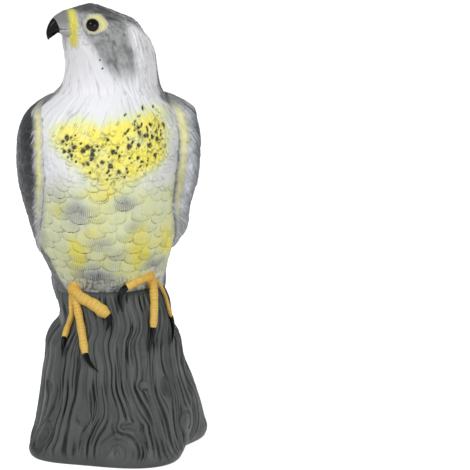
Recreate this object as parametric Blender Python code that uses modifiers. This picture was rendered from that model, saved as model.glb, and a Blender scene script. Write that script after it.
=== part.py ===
"""A falcon decoy on a tree stump: a hollow moulded garden bird scarer.

The bird stands on the stump with its breast to -Y and its head turned to its own
right (-X).  The stump stands on a ring at z = 0 and is filled with sand through a
hole in its recessed floor, which a push-in plug closes.  Metres, +Z up.
"""

import math

import bmesh
import bpy
import numpy as np
from mathutils import Vector

# Heights of the main forms
PERCH_HEIGHT = 0.152        # top of the stump, where the bird stands
BIRD_HEIGHT = 0.256         # belly to crown
TAIL_DROP = 0.063           # how far the tail hangs below the perch

# Widths of the main forms at their widest
STUMP_WIDTH = 0.149
BIRD_WIDTH = 0.136

# Where things stand, seen from above
STUMP_AXIS = Vector((0.004, 0.010))
BIRD_AXIS = Vector((-0.003, -0.010))
HEAD_TURN = math.radians(-62)    # the head looks over the bird's right shoulder

# Walls, clearances and edges
WALL = 0.0022               # blow moulded wall
SEAT_GAP = 0.0003           # between pieces that touch
WING_BED = 0.003            # how deep the uncut wing reaches into the body before it is fitted
FOOT_RING = 0.016           # width of the ring that the stump stands on
FLOOR_RECESS = 0.007        # how far the floor is set up inside that ring
RECESS_SLOPE = 0.6          # lean of the recess's sides
BOTTOM_EDGE = 0.004         # rounding of the stump's lower edge
DECK_INSET = 0.011          # how far the stump's top closes in under the bird
CUT_REACH = 0.004           # how far a cutter runs past the solid that it stands for

# Fill hole and its plug
HOLE_DIAMETER = 0.038
HOLE_CENTRE = STUMP_AXIS + Vector((0.0, 0.008))
PLUG_CLEARANCE = 0.0003
PLUG_FLANGE = 0.0045        # how far the flange reaches past the hole
FLANGE_THICKNESS = 0.0018
PLUG_DEPTH = 0.009
PLUG_WALL = 0.0016
PLUG_CHAMFER = 0.001
TAB_LENGTH = 0.022
TAB_WIDTH = 0.005
TAB_DROP = 0.0032

# Head furniture
EYE_DIAMETER = 0.0115
EYE_FORWARD = 0.0185        # ahead of the middle of the head
EYE_DROP = 0.0160           # below the crown
EYE_HEIGHT = BIRD_HEIGHT - EYE_DROP    # above the perch
EYE_PROUD = 0.0027          # how far the eyeball stands out of its socket
EYE_SPLAY = 0.4             # how much the eyes look ahead rather than to the side
BEAK_BREAK = 0.50           # share of the beak's length that is grey, before the black hook

# Carved relief
GROOVES = 18                # main furrows of the bark, round the stump
GROOVE_DEPTH = 0.0026
GROOVE_SWAY = 0.10          # how far, in radians, the furrows wander as they rise
GROOVE_ENDS = 0.014         # they fade out over this height at the stump's foot and rim
FEATHER_LIFT = 0.0010       # how far every other point of the breast feathers stands out
BREAST_TOP = 0.165          # the breast feathers end here, above the perch

# Feet
TOE_RADIUS = 0.0040
HUB_RADIUS = 0.0078
TALON_RADIUS = 0.0031
TALON_LIMIT = 1.2           # the thickest talon, against TALON_RADIUS
TOE_PROUD = 0.45            # share of its radius by which a toe's middle stands off the bark
TALON_PROUD = 0.35          # the same for a talon's tip
TALON_BEND = 0.5            # share of a talon's length over which it keeps its toe's direction
HUB_SUNK = 0.001
RIM_ROUND = 0.008           # below the perch, where the toes start to bend over the rim
RIM_SLOPE = 0.30            # how far back the toes lean there, for each height

# Mesh fineness
BODY_SIDES = 36
BODY_RINGS = 24
GROOVE_SIDES = 3            # columns of faces for each furrow of the bark
STUMP_SIDES = GROOVES * GROOVE_SIDES
STUMP_RINGS = 12
WING_COLUMNS = 14
WING_ROWS = 17
TAIL_SIDES = 20
TAIL_RINGS = 8
TOE_SIDES = 10
TALON_SIDES = 8
BALL_SEGMENTS = 14          # eyeballs and the hubs of the feet
BALL_RINGS = 9
BEAK_SIDES = 16
PLUG_STEPS = 28

FRONT_ENDS = 0.12           # how near to its sides, in radians, the front of a form is searched
FRONT_STEPS = 121

MM = 0.001


def clean_scene():
    for old in list(bpy.data.objects):
        bpy.data.objects.remove(old, do_unlink=True)


def make_collections():
    parts = bpy.data.collections.new("falcon_decoy")
    cutters = bpy.data.collections.new("cutters")
    for group in (parts, cutters):
        bpy.context.scene.collection.children.link(group)
    return parts, cutters


def paint(name, colour, roughness, metallic=0.0):
    material = bpy.data.materials.new(name)
    material.use_nodes = True
    shader = material.node_tree.nodes["Principled BSDF"]
    shader.inputs["Base Color"].default_value = (*colour, 1.0)
    shader.inputs["Roughness"].default_value = roughness
    shader.inputs["Metallic"].default_value = metallic
    return material


def spline_rows(rows, count):
    """Smooth rows of station values into count rows, evenly spaced along the form."""
    rows = np.array(rows, float)
    steps = np.linalg.norm(np.diff(rows[:, :5], axis=0), axis=1)
    knots = np.concatenate(([0.0], np.cumsum(steps)))
    slopes = np.gradient(rows, knots, axis=0)
    out = []
    for at in np.linspace(0.0, knots[-1], count):
        i = min(int(np.searchsorted(knots, at, side="right")) - 1, len(knots) - 2)
        span = knots[i + 1] - knots[i]
        t = (at - knots[i]) / span
        h00 = 2 * t**3 - 3 * t**2 + 1
        h10 = t**3 - 2 * t**2 + t
        h01 = -2 * t**3 + 3 * t**2
        h11 = t**3 - t**2
        low = h00 * rows[i] + h10 * span * slopes[i]
        out.append(low + h01 * rows[i + 1] + h11 * span * slopes[i + 1])
    return np.array(out)


class Form:
    """A soft form given by level stations: its outline at every height.

    A station is height, middle x, middle y, half width, reach to the front, reach to
    the back, squareness and turn.  Sizes in millimetres, the turn in degrees.
    """

    def __init__(self, stations, axis, base, stretch=1.0, girth=1.0):
        self.rows = np.array(stations, float)
        self.axis = axis
        self.base = base
        self.stretch = stretch
        self.girth = girth

    def smooth(self, count):
        return spline_rows(self.rows, count)

    def height(self, row):
        """Height of a station above the form's base, in metres."""
        return row[0] * MM * self.stretch

    def row_at(self, height):
        """Station values at a height above the form's base, in metres."""
        fine = self.smooth(240)
        level = height / MM / self.stretch
        return np.array([np.interp(level, fine[:, 0], fine[:, k]) for k in range(fine.shape[1])])

    def reach(self, row, angle, grow=0.0):
        """Distance from the middle to the surface in the direction of angle."""
        _, _, _, side, front, back, power, turn = row[:8]
        ahead = -math.pi / 2 + math.radians(turn)
        forward = math.cos(angle - ahead)
        sideways = abs(math.sin(angle - ahead))
        length = front if forward > 0 else back
        sum_ = (abs(forward) / length) ** power + (sideways / side) ** power
        return sum_ ** (-1.0 / power) * MM * self.girth + grow

    def point(self, row, angle, grow=0.0):
        r = self.reach(row, angle, grow)
        return Vector((
            self.axis.x + row[1] * MM * self.girth + r * math.cos(angle),
            self.axis.y + row[2] * MM * self.girth + r * math.sin(angle),
            self.base + self.height(row),
        ))

    def front_spot(self, x, height):
        """The point of the front surface at a given x and height."""
        row = self.row_at(height)
        angles = np.linspace(-FRONT_ENDS, FRONT_ENDS - math.pi, FRONT_STEPS)
        across = [-self.point(row, angle).x for angle in angles]
        return self.point(row, float(np.interp(-x, across, angles)))


# Stations in millimetres above the perch: height, x, y, half width, front, back, power, turn.
# They give the breast its overhang, the narrow belly and the head turned to the right.
TORSO = [
    (0, -0.5, 21, 49.5, 50, 61, 2.1, 0),
    (10, -0.5, 18.5, 51.5, 54.5, 67, 2.2, 0),
    (28, -2, 14, 57, 61, 77, 2.3, 0),
    (50, -2, 8, 61.5, 69, 83, 2.4, 0),
    (88, -3, 1, 64, 77, 80, 2.4, 0),
    (124, -3, -5, 68, 77, 74, 2.4, 0),
    (146, -2, -8, 67, 72, 67, 2.3, -2),
    (159, -1, -9, 62, 66, 60, 2.2, -10),
    (171, 0.5, -10, 51.5, 56, 53, 2.1, -25),
    (185, 2.5, -14, 41, 43, 46, 2.0, -45),
    (200, 2, -19, 38, 38.5, 43, 2.0, -60),
    (216, 1, -24, 34, 38.5, 41, 2.1, -62),
    (230, -3, -30, 31, 36, 37, 2.2, -62),
    (242, -7, -35, 26.5, 31.5, 31, 2.2, -62),
    (250, -12, -36, 19, 23, 20, 2.1, -62),
    (254.5, -15, -36, 8.5, 10.5, 8.5, 2.0, -62),
    (256, -15, -36, 3, 3, 3, 2.0, -62),
]
TORSO_TALL = TORSO[-1][0] * MM
TORSO_WIDE = 2 * max(row[3] for row in TORSO) * MM

# Stations in millimetres above the ground, for the flared stump with its ledge at -X.
STUMP = [
    (0, -0.5, -1, 73, 84, 80, 2.9, -14),
    (9, -0.5, -1, 74.5, 83, 79, 2.8, -14),
    (20, 0.5, -1, 73.5, 80, 74, 2.5, -11),
    (33, 1, -4, 72, 77, 70, 2.4, -9),
    (52, 1, -6, 69, 73, 66, 2.4, -7),
    (77, -2, -8, 63.5, 70, 62, 2.4, -6),
    (92, -3, -8, 61.5, 67, 60, 2.3, 0),
    (104, -3.5, -7, 60, 65, 59, 2.3, 0),
    (111, -3.5, -5, 56, 64, 59, 2.3, 0),
    (119, -1, -3, 51.5, 64, 60, 2.4, 0),
    (138, -3, 0, 50, 64, 60, 2.4, 0),
    (147, -5, 2, 47.5, 62, 60, 2.3, 0),
    (152, -5, 2, 43.5, 58, 57, 2.2, 0),
]
STUMP_TALL = STUMP[-1][0] * MM
STUMP_WIDE = 2 * max(row[3] for row in STUMP) * MM

# Root swellings: direction, how far round and how high they reach, and how proud they stand.
ROOTS = [
    (math.radians(-150), 0.30, 0.017, 0.004),
    (math.radians(-118), 0.30, 0.010, -0.0025),
    (math.radians(-24), 0.40, 0.013, -0.008),
    (math.radians(-62), 0.40, 0.040, 0.004),
    (math.radians(14), 0.36, 0.052, 0.006),
    (math.radians(128), 0.45, 0.040, 0.004),
    (math.radians(176), 0.22, 0.120, 0.003),
]

# Wing outline: height above the perch, front edge of the left wing and of the right, back
# edge, all as directions, and the thickness of the left wing and of the right, which lies flatter.
WING = [
    (174, 4, 4, 30, 4, 3),
    (171, -8, -8, 42, 11, 8),
    (164, -16, -18, 49, 16, 11.5),
    (153, -22, -25, 54, 17.5, 12.5),
    (141, -26, -30, 58, 18.5, 12.5),
    (124, -29, -33, 62, 19, 13.5),
    (98, -30, -35, 67, 19, 15.5),
    (72, -28, -34, 72, 13.5, 11),
    (53, -16, -27, 76, 11.5, 8.5),
    (36, 6, -12, 79, 9.5, 7.5),
    (20, 30, 10, 81, 8, 7.5),
    (9, 50, 40, 81, 6, 6),
    (3, 64, 62, 77, 3, 3),
]

# Wing section, in shares of its width from the front edge to the back
WING_NOSE = 0.045           # over which the front edge rounds up
WING_EDGE = 0.16            # share of the thickness left at the edges
WING_FRONT = 1.18           # fullness just behind the front edge
WING_TAPER = 0.60           # thinning towards the back
WING_HOLLOW = 0.20          # depth of the shallow hollow behind the shoulder
HOLLOW_PLACE = 0.33
HOLLOW_SPREAD = 0.16
WING_BACK = 0.05            # over which the back edge rounds off

# Stations in millimetres above the tail's lower edge: a fan under the wing tips that wraps
# round the back of the stump and narrows downwards.
TAIL = [
    (0, 0, 10, 20, 12, 6, 2.3, 0),
    (10, 0, 5, 28, 14, 16, 2.3, 0),
    (26, 0, -3, 41, 24, 28, 2.3, 0),
    (44, 0, -12, 49, 32, 40, 2.3, 0),
    (63, 0, -20, 52, 36, 50, 2.3, 0),
    (78, 0, -22, 46, 32, 50, 2.3, 0),
    (90, 0, -22, 30, 20, 36, 2.3, 0),
]
TAIL_TOP = 0.027            # how far its top reaches above the perch, into the body
TAIL_BACK = 0.060           # how far the tail's own axis stands behind the bird's


def stump_form():
    return Form(STUMP, STUMP_AXIS, 0.0, PERCH_HEIGHT / STUMP_TALL, STUMP_WIDTH / STUMP_WIDE)


def torso_form():
    base = PERCH_HEIGHT + SEAT_GAP
    return Form(TORSO, BIRD_AXIS, base, BIRD_HEIGHT / TORSO_TALL, BIRD_WIDTH / TORSO_WIDE)


def root_swell(angle, height):
    swell = 0.0
    for direction, spread, tall, proud in ROOTS:
        off = math.remainder(angle - direction, 2 * math.pi)
        swell += proud * math.exp(-(off / spread) ** 2) * math.exp(-(height / tall) ** 2)
    return swell


def stump_ring(form, row, grow=0.0, carved=True):
    """One ring of the stump, whose columns follow the furrows as they wander upwards."""
    height = form.height(row)
    share = height / PERCH_HEIGHT
    ends = min(1.0, height / GROOVE_ENDS, (PERCH_HEIGHT - height) / GROOVE_ENDS)
    ring = []
    for i in range(STUMP_SIDES):
        angle = 2 * math.pi * i / STUMP_SIDES
        angle += GROOVE_SWAY * math.sin(math.pi * share + 3 * angle) * ends
        depth = GROOVE_DEPTH * ends if carved and i % GROOVE_SIDES == 0 else 0.0
        ring.append(form.point(row, angle, grow + root_swell(angle, height) - depth))
    return ring


def torso_ring(form, row, sides, grow=0.0, feathers=None):
    """One ring of a form; feathers is the ring's number where it has raised breast feathers."""
    height = form.height(row)
    ring = []
    for i in range(sides):
        angle = 2 * math.pi * i / sides
        lift = 0.0
        if feathers and height < BREAST_TOP and math.sin(angle) < 0:
            lift = FEATHER_LIFT * ((i + feathers) % 2) * abs(math.sin(angle))
        ring.append(form.point(row, angle, grow + lift))
    return ring


def torso_rings(form, grow=0.0):
    return [torso_ring(form, row, BODY_SIDES, grow, k) for k, row in enumerate(form.smooth(BODY_RINGS))]


def skin(bm, rings, close_first, close_last):
    """Join closed rings of equal count, and cap the ends that are asked for.

    Every quad is split the same way, so that a solid and the cutter grown from it match.
    """
    made = [[bm.verts.new(p) for p in ring] for ring in rings]
    sides = []
    for low, high in zip(made, made[1:]):
        for i in range(len(low)):
            j = (i + 1) % len(low)
            sides.append(bm.faces.new((low[i], low[j], high[j], high[i])))
    bmesh.ops.triangulate(bm, faces=sides, quad_method="FIXED")
    if close_first:
        bm.faces.new(list(reversed(made[0])))
    if close_last:
        bm.faces.new(made[-1])


def object_from(bm, name, collection, material=None, smooth_angle=40):
    bmesh.ops.recalc_face_normals(bm, faces=bm.faces)
    mesh = bpy.data.meshes.new(name)
    bm.to_mesh(mesh)
    bm.free()
    mesh.shade_smooth()
    mesh.set_sharp_from_angle(angle=math.radians(smooth_angle))
    if material:
        mesh.materials.append(material)
    ob = bpy.data.objects.new(name, mesh)
    collection.objects.link(ob)
    return ob


def make_cutter(bm, name, collection):
    ob = object_from(bm, name, collection)
    ob.hide_render = True
    ob.display_type = "WIRE"
    return ob


def cut(ob, cutter, operation="DIFFERENCE"):
    mod = ob.modifiers.new(operation.lower() + "_" + cutter.name, "BOOLEAN")
    mod.operation = operation
    mod.object = cutter
    mod.solver = "EXACT"


def build_stump(parts, cutters, material):
    """Hollow stump: standing ring, recessed floor with the fill hole, flared sides, top deck."""
    form = stump_form()
    rows = form.smooth(STUMP_RINGS)
    base = stump_ring(form, rows[0])
    middle = Vector((HOLE_CENTRE.x, HOLE_CENTRE.y, 0.0))

    def inset(ring, by, height):
        out = []
        for p in ring:
            flat = Vector((p.x - STUMP_AXIS.x, p.y - STUMP_AXIS.y, 0.0))
            spot = flat * (1.0 - by / flat.length)
            out.append(Vector((STUMP_AXIS.x + spot.x, STUMP_AXIS.y + spot.y, height)))
        return out

    def hole_ring(radius, height):
        around = []
        for p in base:
            way = (Vector((p.x, p.y, 0.0)) - middle).normalized()
            around.append(middle + way * radius + Vector((0, 0, height)))
        return around

    corner = [inset(base, BOTTOM_EDGE * (1 - math.sin(a)), BOTTOM_EDGE * (1 - math.cos(a)))
              for a in (0.0, math.pi / 4)]
    rings = [
        hole_ring(HOLE_DIAMETER / 2, FLOOR_RECESS),
        inset(base, BOTTOM_EDGE + FOOT_RING + FLOOR_RECESS * RECESS_SLOPE, FLOOR_RECESS),
        inset(base, BOTTOM_EDGE + FOOT_RING, 0.0),
        *corner,
    ]
    for row in rows:
        if form.height(row) > BOTTOM_EDGE:
            rings.append(stump_ring(form, row))
    rings.append(inset(rings[-1], DECK_INSET, PERCH_HEIGHT))

    bm = bmesh.new()
    skin(bm, rings, False, False)
    shell = object_from(bm, "stump_shell", parts, material)
    solid = shell.modifiers.new("wall", "SOLIDIFY")
    solid.thickness = WALL
    solid.offset = -1.0
    solid.use_even_offset = True

    bm = bmesh.new()
    grown = [stump_ring(form, row, SEAT_GAP, carved=False) for row in rows]
    top = [p + Vector((0, 0, SEAT_GAP)) for p in grown[-1]]
    low = [Vector((p.x, p.y, -CUT_REACH)) for p in grown[0]]
    skin(bm, [low, *grown[1:-1], top], True, True)
    return shell, make_cutter(bm, "stump_space", cutters)


def head_axes():
    """The middle of the head at eye height, and its forward and left directions."""
    form = torso_form()
    row = form.row_at(EYE_HEIGHT)
    middle = form.point(row, 0.0, -form.reach(row, 0.0))
    ahead = -math.pi / 2 + HEAD_TURN
    forward = Vector((math.cos(ahead), math.sin(ahead), 0.0))
    left = Vector((-forward.y, forward.x, 0.0))
    return middle, forward, left


# Beak path: reach ahead of the middle of the head, height from the eye, half height and
# half width of the section, and its tilt, in millimetres and degrees.
BEAK = [
    (24, 0.7, 11.6, 10.5, 0),
    (30, 0.4, 11.4, 9.4, 2),
    (36, 0.4, 9.8, 7.6, 8),
    (41.6, -0.7, 6.9, 5.6, 20),
    (45.8, -3.8, 4.4, 3.6, 38),
    (48.3, -7.8, 2.6, 2.0, 55),
    (48.8, -12.5, 0.5, 0.5, 80),
]


def beak_rings(first, last, count):
    middle, forward, left = head_axes()
    girth = torso_form().girth
    rows = np.array(BEAK)
    knots = np.linspace(0.0, 1.0, len(rows))
    rings = []
    for at in np.linspace(first, last, count):
        reach, rise, tall, wide, tilt = (np.interp(at, knots, rows[:, k]) for k in range(5))
        lean = math.radians(tilt)
        up = Vector((0, 0, 1)) * math.cos(lean) + forward * math.sin(lean)
        centre = middle + forward * reach * MM * girth + Vector((0, 0, rise * MM))
        ring = []
        for i in range(BEAK_SIDES):
            a = 2 * math.pi * i / BEAK_SIDES
            across = left * wide * MM * girth * math.cos(a)
            ring.append(centre + across + up * tall * MM * math.sin(a))
        rings.append(ring)
    return rings


def eye_spots():
    """Middles of the two eyeballs, set in from the surface of the head."""
    middle, forward, left = head_axes()
    form = torso_form()
    row = form.row_at(EYE_HEIGHT)
    spots = []
    for side in (1, -1):
        best = None
        for step in range(360):
            spot = form.point(row, math.radians(step))
            off = spot - middle
            if off.dot(left) * side < 0:
                continue
            miss = abs(off.dot(forward) - EYE_FORWARD * form.girth)
            if best is None or miss < best[0]:
                best = (miss, spot)
        outward = (best[1] - middle - forward * EYE_FORWARD * EYE_SPLAY).normalized()
        spots.append(best[1] - outward * (EYE_DIAMETER / 2 - EYE_PROUD))
    return spots


def ball(radius, centre):
    bm = bmesh.new()
    bmesh.ops.create_uvsphere(bm, u_segments=BALL_SEGMENTS, v_segments=BALL_RINGS, radius=radius)
    bmesh.ops.translate(bm, verts=bm.verts, vec=centre)
    return bm


def build_bird(parts, cutters, body_paint, eye_paint, beak_paint):
    """Head, neck and body as one hollow moulding, open onto the stump, with its eyes and beak."""
    form = torso_form()
    bm = bmesh.new()
    skin(bm, torso_rings(form), False, True)
    shell = object_from(bm, "bird_shell", parts, body_paint)
    solid = shell.modifiers.new("wall", "SOLIDIFY")
    solid.thickness = WALL
    solid.offset = -1.0
    solid.use_even_offset = True

    bm = bmesh.new()
    skin(bm, beak_rings(0.0, BEAK_BREAK, 5), True, True)
    cut(shell, make_cutter(bm, "beak_base", cutters), "UNION")
    for name, spot in zip(("eye_left", "eye_right"), eye_spots()):
        socket = make_cutter(ball(EYE_DIAMETER / 2 + SEAT_GAP, spot), name + "_socket", cutters)
        cut(shell, socket)
        eye = object_from(ball(EYE_DIAMETER / 2, spot), name, parts, eye_paint)
        eye.data.shade_smooth()

    bm = bmesh.new()
    beak_length = sum((Vector(b[:2]) - Vector(a[:2])).length for a, b in zip(BEAK, BEAK[1:])) * MM
    skin(bm, beak_rings(BEAK_BREAK + SEAT_GAP / beak_length, 1.0, 7), True, True)
    object_from(bm, "beak_hook", parts, beak_paint)

    bm = bmesh.new()
    grown = torso_rings(form, SEAT_GAP)
    grown[0] = [p - Vector((0, 0, CUT_REACH)) for p in grown[0]]
    skin(bm, grown, True, True)
    return shell, make_cutter(bm, "bird_space", cutters)


def wing_thickness(share, most):
    """Thickness across the wing: a rounded front edge, full at the side, thin to the back."""
    rise = 1.0 - math.exp(-share / WING_NOSE)
    hollow = WING_HOLLOW * math.exp(-((share - HOLLOW_PLACE) / HOLLOW_SPREAD) ** 2)
    fall = WING_FRONT - WING_TAPER * share - hollow
    end = min(1.0, (1.0 - share) / WING_BACK) ** 0.5
    return most * (WING_EDGE + (1.0 - WING_EDGE) * rise * fall * end)


def wing_mesh(side, grow=0.0):    # side is "left" or "right"
    """The lobe of a folded wing, reaching into the body, which is cut away from it later."""
    form = torso_form()
    rows = spline_rows(WING, WING_ROWS)
    spread = 2 * grow / BIRD_WIDTH
    rings = []
    for i, row in enumerate(rows):
        height, left_front, right_front, back, left_most, right_most = row
        front, most = (left_front, left_most) if side == "left" else (right_front, right_most)
        body = form.row_at(height * MM * form.stretch)
        lift = Vector((0, 0, grow if i == 0 else -grow if i == len(rows) - 1 else 0.0))
        out_line, in_line = [], []
        for k in range(WING_COLUMNS + 1):
            share = (1 - math.cos(math.pi * k / WING_COLUMNS)) / 2
            angle = math.radians(front) - spread
            angle += (math.radians(back - front) + 2 * spread) * share
            if side == "right":
                angle = math.pi - angle
            thick = wing_thickness(share, most * MM)
            in_line.append(form.point(body, angle, -WING_BED) + lift)
            out_line.append(form.point(body, angle, thick + grow) + lift)
        rings.append(out_line + list(reversed(in_line)))
    bm = bmesh.new()
    skin(bm, rings, True, True)
    return bm


def build_wing(side, parts, cutters, material, bird_space):
    """A folded wing laid on the flank, and the space that it takes from the tail."""
    wing = object_from(wing_mesh(side), "wing_" + side, parts, material, 50)
    cut(wing, bird_space)
    return make_cutter(wing_mesh(side, SEAT_GAP), "wing_%s_space" % side, cutters)


def build_tail(parts, material, spaces):
    """The tail feathers, hanging from under the wing tips down the back of the stump."""
    base = PERCH_HEIGHT - TAIL_DROP
    stretch = (TAIL_DROP + TAIL_TOP) / (TAIL[-1][0] * MM)
    girth = BIRD_WIDTH / TORSO_WIDE
    form = Form(TAIL, BIRD_AXIS + Vector((0, TAIL_BACK)), base, stretch, girth)
    bm = bmesh.new()
    rings = [torso_ring(form, row, TAIL_SIDES) for row in form.smooth(TAIL_RINGS)]
    skin(bm, rings, True, True)
    tail = object_from(bm, "tail", parts, material)
    for space in spaces:
        cut(tail, space)


def tube(path, radii, sides, start_way=None):
    """Rings round a path, a toe or a talon, whose first ring may be set square to start_way."""
    rings = []
    up = Vector((1, 0, 0))
    for i, (spot, radius) in enumerate(zip(path, radii)):
        ahead = path[min(i + 1, len(path) - 1)] - path[max(i - 1, 0)]
        if i == 0 and start_way:
            ahead = start_way.copy()
        ahead.normalize()
        side = up.cross(ahead).normalized()
        up = ahead.cross(side).normalized()
        rings.append([
            spot + (side * math.cos(a) + up * math.sin(a)) * radius
            for a in (2 * math.pi * k / sides for k in range(sides))
        ])
    return rings


# Feet: the hub, then each toe's girth, run and talon tip, as x from the bird's axis and
# height from the perch in millimetres.
FEET = {
    "right": {
        "hub": (-33, 3),
        "outer": (0.85, [(-36, -3), (-37, -19), (-40.5, -37)], (-42, -53)),
        "middle": (0.95, [(-31, -4), (-27, -25), (-23, -50)], (-12, -65)),
        "inner": (1.45, [(-25, -3), (-14, -10), (-4, -18)], (-4.5, -31)),
    },
    "left": {
        "hub": (34, 13),
        "outer": (0.72, [(41, 5), (47, -7), (52, -22)], (53, -38)),
        "middle": (1.0, [(36, 5), (37, -10), (36, -31)], (31, -50)),
        "inner": (1.05, [(28, 12), (20, 9), (13, 6)], (9.5, -14)),
    },
}
TOES = ("inner", "middle", "outer")
TOE_SWELLS = (1.15, 1.1, 0.98, 1.08, 0.95, 1.06, 0.95, 1.04, 0.92)    # knuckles along a toe
TALON_TAPER = (1.0, 1.0, 0.92, 0.78, 0.58, 0.36, 0.10)


def foot_spot(stump, torso, spot, proud):
    """A point that stands proud of the stump's front or, above its rim, of the belly."""
    x = BIRD_AXIS.x + spot[0] * MM * stump.girth
    height = PERCH_HEIGHT + spot[1] * MM * stump.stretch
    rim = PERCH_HEIGHT - RIM_ROUND
    under = stump.front_spot(x, min(height, rim))
    y = under.y + max(0.0, height - rim) * RIM_SLOPE
    if height > PERCH_HEIGHT:
        y = min(y, torso.front_spot(x, height - PERCH_HEIGHT).y)
    outward = (under - Vector((*STUMP_AXIS, under.z))).normalized()
    return Vector((under.x, y, height)) + outward * proud


def build_feet(parts, cutters, toe_paint, talon_paint, stump_space, bird_space):
    """Two feet of three toes, draped over the front of the stump, with a talon on each toe."""
    forms = (stump_form(), torso_form())
    for side, plan in FEET.items():
        hub = foot_spot(*forms, plan["hub"], -HUB_SUNK)
        foot = object_from(ball(HUB_RADIUS, hub), "foot_" + side, parts, toe_paint)
        for toe in TOES:
            size, run, claw = plan[toe]
            radius = TOE_RADIUS * size
            rows = spline_rows([(*spot, 0, 0, 0) for spot in [plan["hub"], *run]], len(TOE_SWELLS))
            fine = [hub] + [foot_spot(*forms, row[:2], radius * TOE_PROUD) for row in rows[1:]]
            bm = bmesh.new()
            skin(bm, tube(fine, [radius * swell for swell in TOE_SWELLS], TOE_SIDES), True, True)
            cut(foot, make_cutter(bm, "toe_%s_%s" % (side, toe), cutters), "UNION")

            way = (fine[-1] - fine[-2]).normalized()
            start = fine[-1] + way * SEAT_GAP
            root = TALON_RADIUS * min(size, TALON_LIMIT)
            tip = foot_spot(*forms, claw, root * TALON_PROUD)
            hook = start + way * (tip - start).length * TALON_BEND
            shares = np.linspace(0, 1, len(TALON_TAPER))
            fine = [start.lerp(hook, t).lerp(hook.lerp(tip, t), t) for t in shares]
            bm = bmesh.new()
            skin(bm, tube(fine, [root * taper for taper in TALON_TAPER], TALON_SIDES, way), True, True)
            talon = object_from(bm, "talon_%s_%s" % (side, toe), parts, talon_paint)
            cut(talon, stump_space)
            cut(talon, bird_space)
        cut(foot, stump_space)
        cut(foot, bird_space)


def build_plug(parts, cutters, material):
    """Push-in plug for the fill hole: a cup with a flange under the floor and a pull tab."""
    bore = HOLE_DIAMETER / 2 - PLUG_CLEARANCE
    rim = HOLE_DIAMETER / 2 + PLUG_FLANGE
    under = FLOOR_RECESS - SEAT_GAP
    low = under - FLANGE_THICKNESS
    top = under + PLUG_DEPTH
    profile = [
        (0.0, low), (rim, low), (rim, under), (bore, under), (bore, top - PLUG_CHAMFER),
        (bore - PLUG_CHAMFER, top), (bore - PLUG_WALL, top), (bore - PLUG_WALL, low + PLUG_WALL),
        (0.0, low + PLUG_WALL),
    ]
    bm = bmesh.new()
    verts = [bm.verts.new((x, 0.0, z)) for x, z in profile]
    edges = [bm.edges.new((a, b)) for a, b in zip(verts, verts[1:])]
    bmesh.ops.spin(
        bm, geom=verts + edges, cent=(0, 0, 0), axis=(0, 0, 1), dvec=(0, 0, 0),
        angle=2 * math.pi, steps=PLUG_STEPS, use_merge=True, use_duplicate=False,
    )
    bmesh.ops.remove_doubles(bm, verts=bm.verts, dist=0.00001)
    plug = object_from(bm, "base_plug", parts, material)
    plug.location = (HOLE_CENTRE.x, HOLE_CENTRE.y, 0.0)

    bm = bmesh.new()
    bmesh.ops.create_cube(bm, size=1.0)
    tall = TAB_DROP + FLANGE_THICKNESS * 0.5
    bmesh.ops.scale(bm, verts=bm.verts, vec=(TAB_LENGTH, TAB_WIDTH, tall))
    bmesh.ops.translate(bm, verts=bm.verts, vec=(0, 0, low + FLANGE_THICKNESS * 0.5 - tall / 2))
    tab = make_cutter(bm, "pull_tab", cutters)
    tab.location = plug.location
    cut(plug, tab, "UNION")
    return plug


def main():
    clean_scene()
    parts, cutters = make_collections()
    feather = paint("painted_feather_plastic", (0.52, 0.53, 0.50), 0.62)
    wing_paint = paint("painted_wing_plastic", (0.16, 0.16, 0.17), 0.60)
    bark = paint("bark_plastic", (0.055, 0.062, 0.063), 0.50)
    toe_paint = paint("toe_paint", (0.68, 0.40, 0.06), 0.50)
    black = paint("talon_paint", (0.012, 0.012, 0.014), 0.35)
    glass = paint("glass_eye", (0.006, 0.006, 0.007), 0.06)
    soft = paint("plug_plastic", (0.03, 0.03, 0.032), 0.55)

    _, stump_space = build_stump(parts, cutters, bark)
    _, bird_space = build_bird(parts, cutters, feather, glass, black)
    wing_spaces = [build_wing(side, parts, cutters, wing_paint, bird_space) for side in ("left", "right")]
    build_tail(parts, wing_paint, [stump_space, bird_space, *wing_spaces])
    build_feet(parts, cutters, toe_paint, black, stump_space, bird_space)
    build_plug(parts, cutters, soft)


main()
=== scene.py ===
"""A moulded falcon decoy on its tree stump: the painted feathers, the bark and the paint.

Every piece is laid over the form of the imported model, in millimetres, and then scaled
to metres.  The breast faces -Y, the bird's left is +X and its head turns to -X.
"""

import itertools
import math

import bmesh
import bpy
import numpy as np
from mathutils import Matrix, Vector
from mathutils.kdtree import KDTree


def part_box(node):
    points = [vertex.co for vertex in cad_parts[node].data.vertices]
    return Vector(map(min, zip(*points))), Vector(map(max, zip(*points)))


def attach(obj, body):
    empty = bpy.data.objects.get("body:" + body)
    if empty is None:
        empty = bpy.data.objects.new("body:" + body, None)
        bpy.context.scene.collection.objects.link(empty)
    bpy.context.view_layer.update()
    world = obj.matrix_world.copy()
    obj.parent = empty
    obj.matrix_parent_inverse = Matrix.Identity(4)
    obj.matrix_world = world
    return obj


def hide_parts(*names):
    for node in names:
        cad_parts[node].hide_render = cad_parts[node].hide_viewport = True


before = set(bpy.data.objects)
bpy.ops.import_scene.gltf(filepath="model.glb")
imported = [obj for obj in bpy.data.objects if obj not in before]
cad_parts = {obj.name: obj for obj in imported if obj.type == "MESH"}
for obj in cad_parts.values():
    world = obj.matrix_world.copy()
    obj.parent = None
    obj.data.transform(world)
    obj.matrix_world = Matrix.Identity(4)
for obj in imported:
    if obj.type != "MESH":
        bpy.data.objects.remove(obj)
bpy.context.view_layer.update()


# The stump: the lower half of the blow moulding, dark self-coloured plastic with bark
# grooves cut into the mould.  It stands on a flat ring, and its floor is set up inside
# the ring round the fill hole.
MM = 0.001
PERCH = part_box("stump_shell")[1].z / MM
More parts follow.
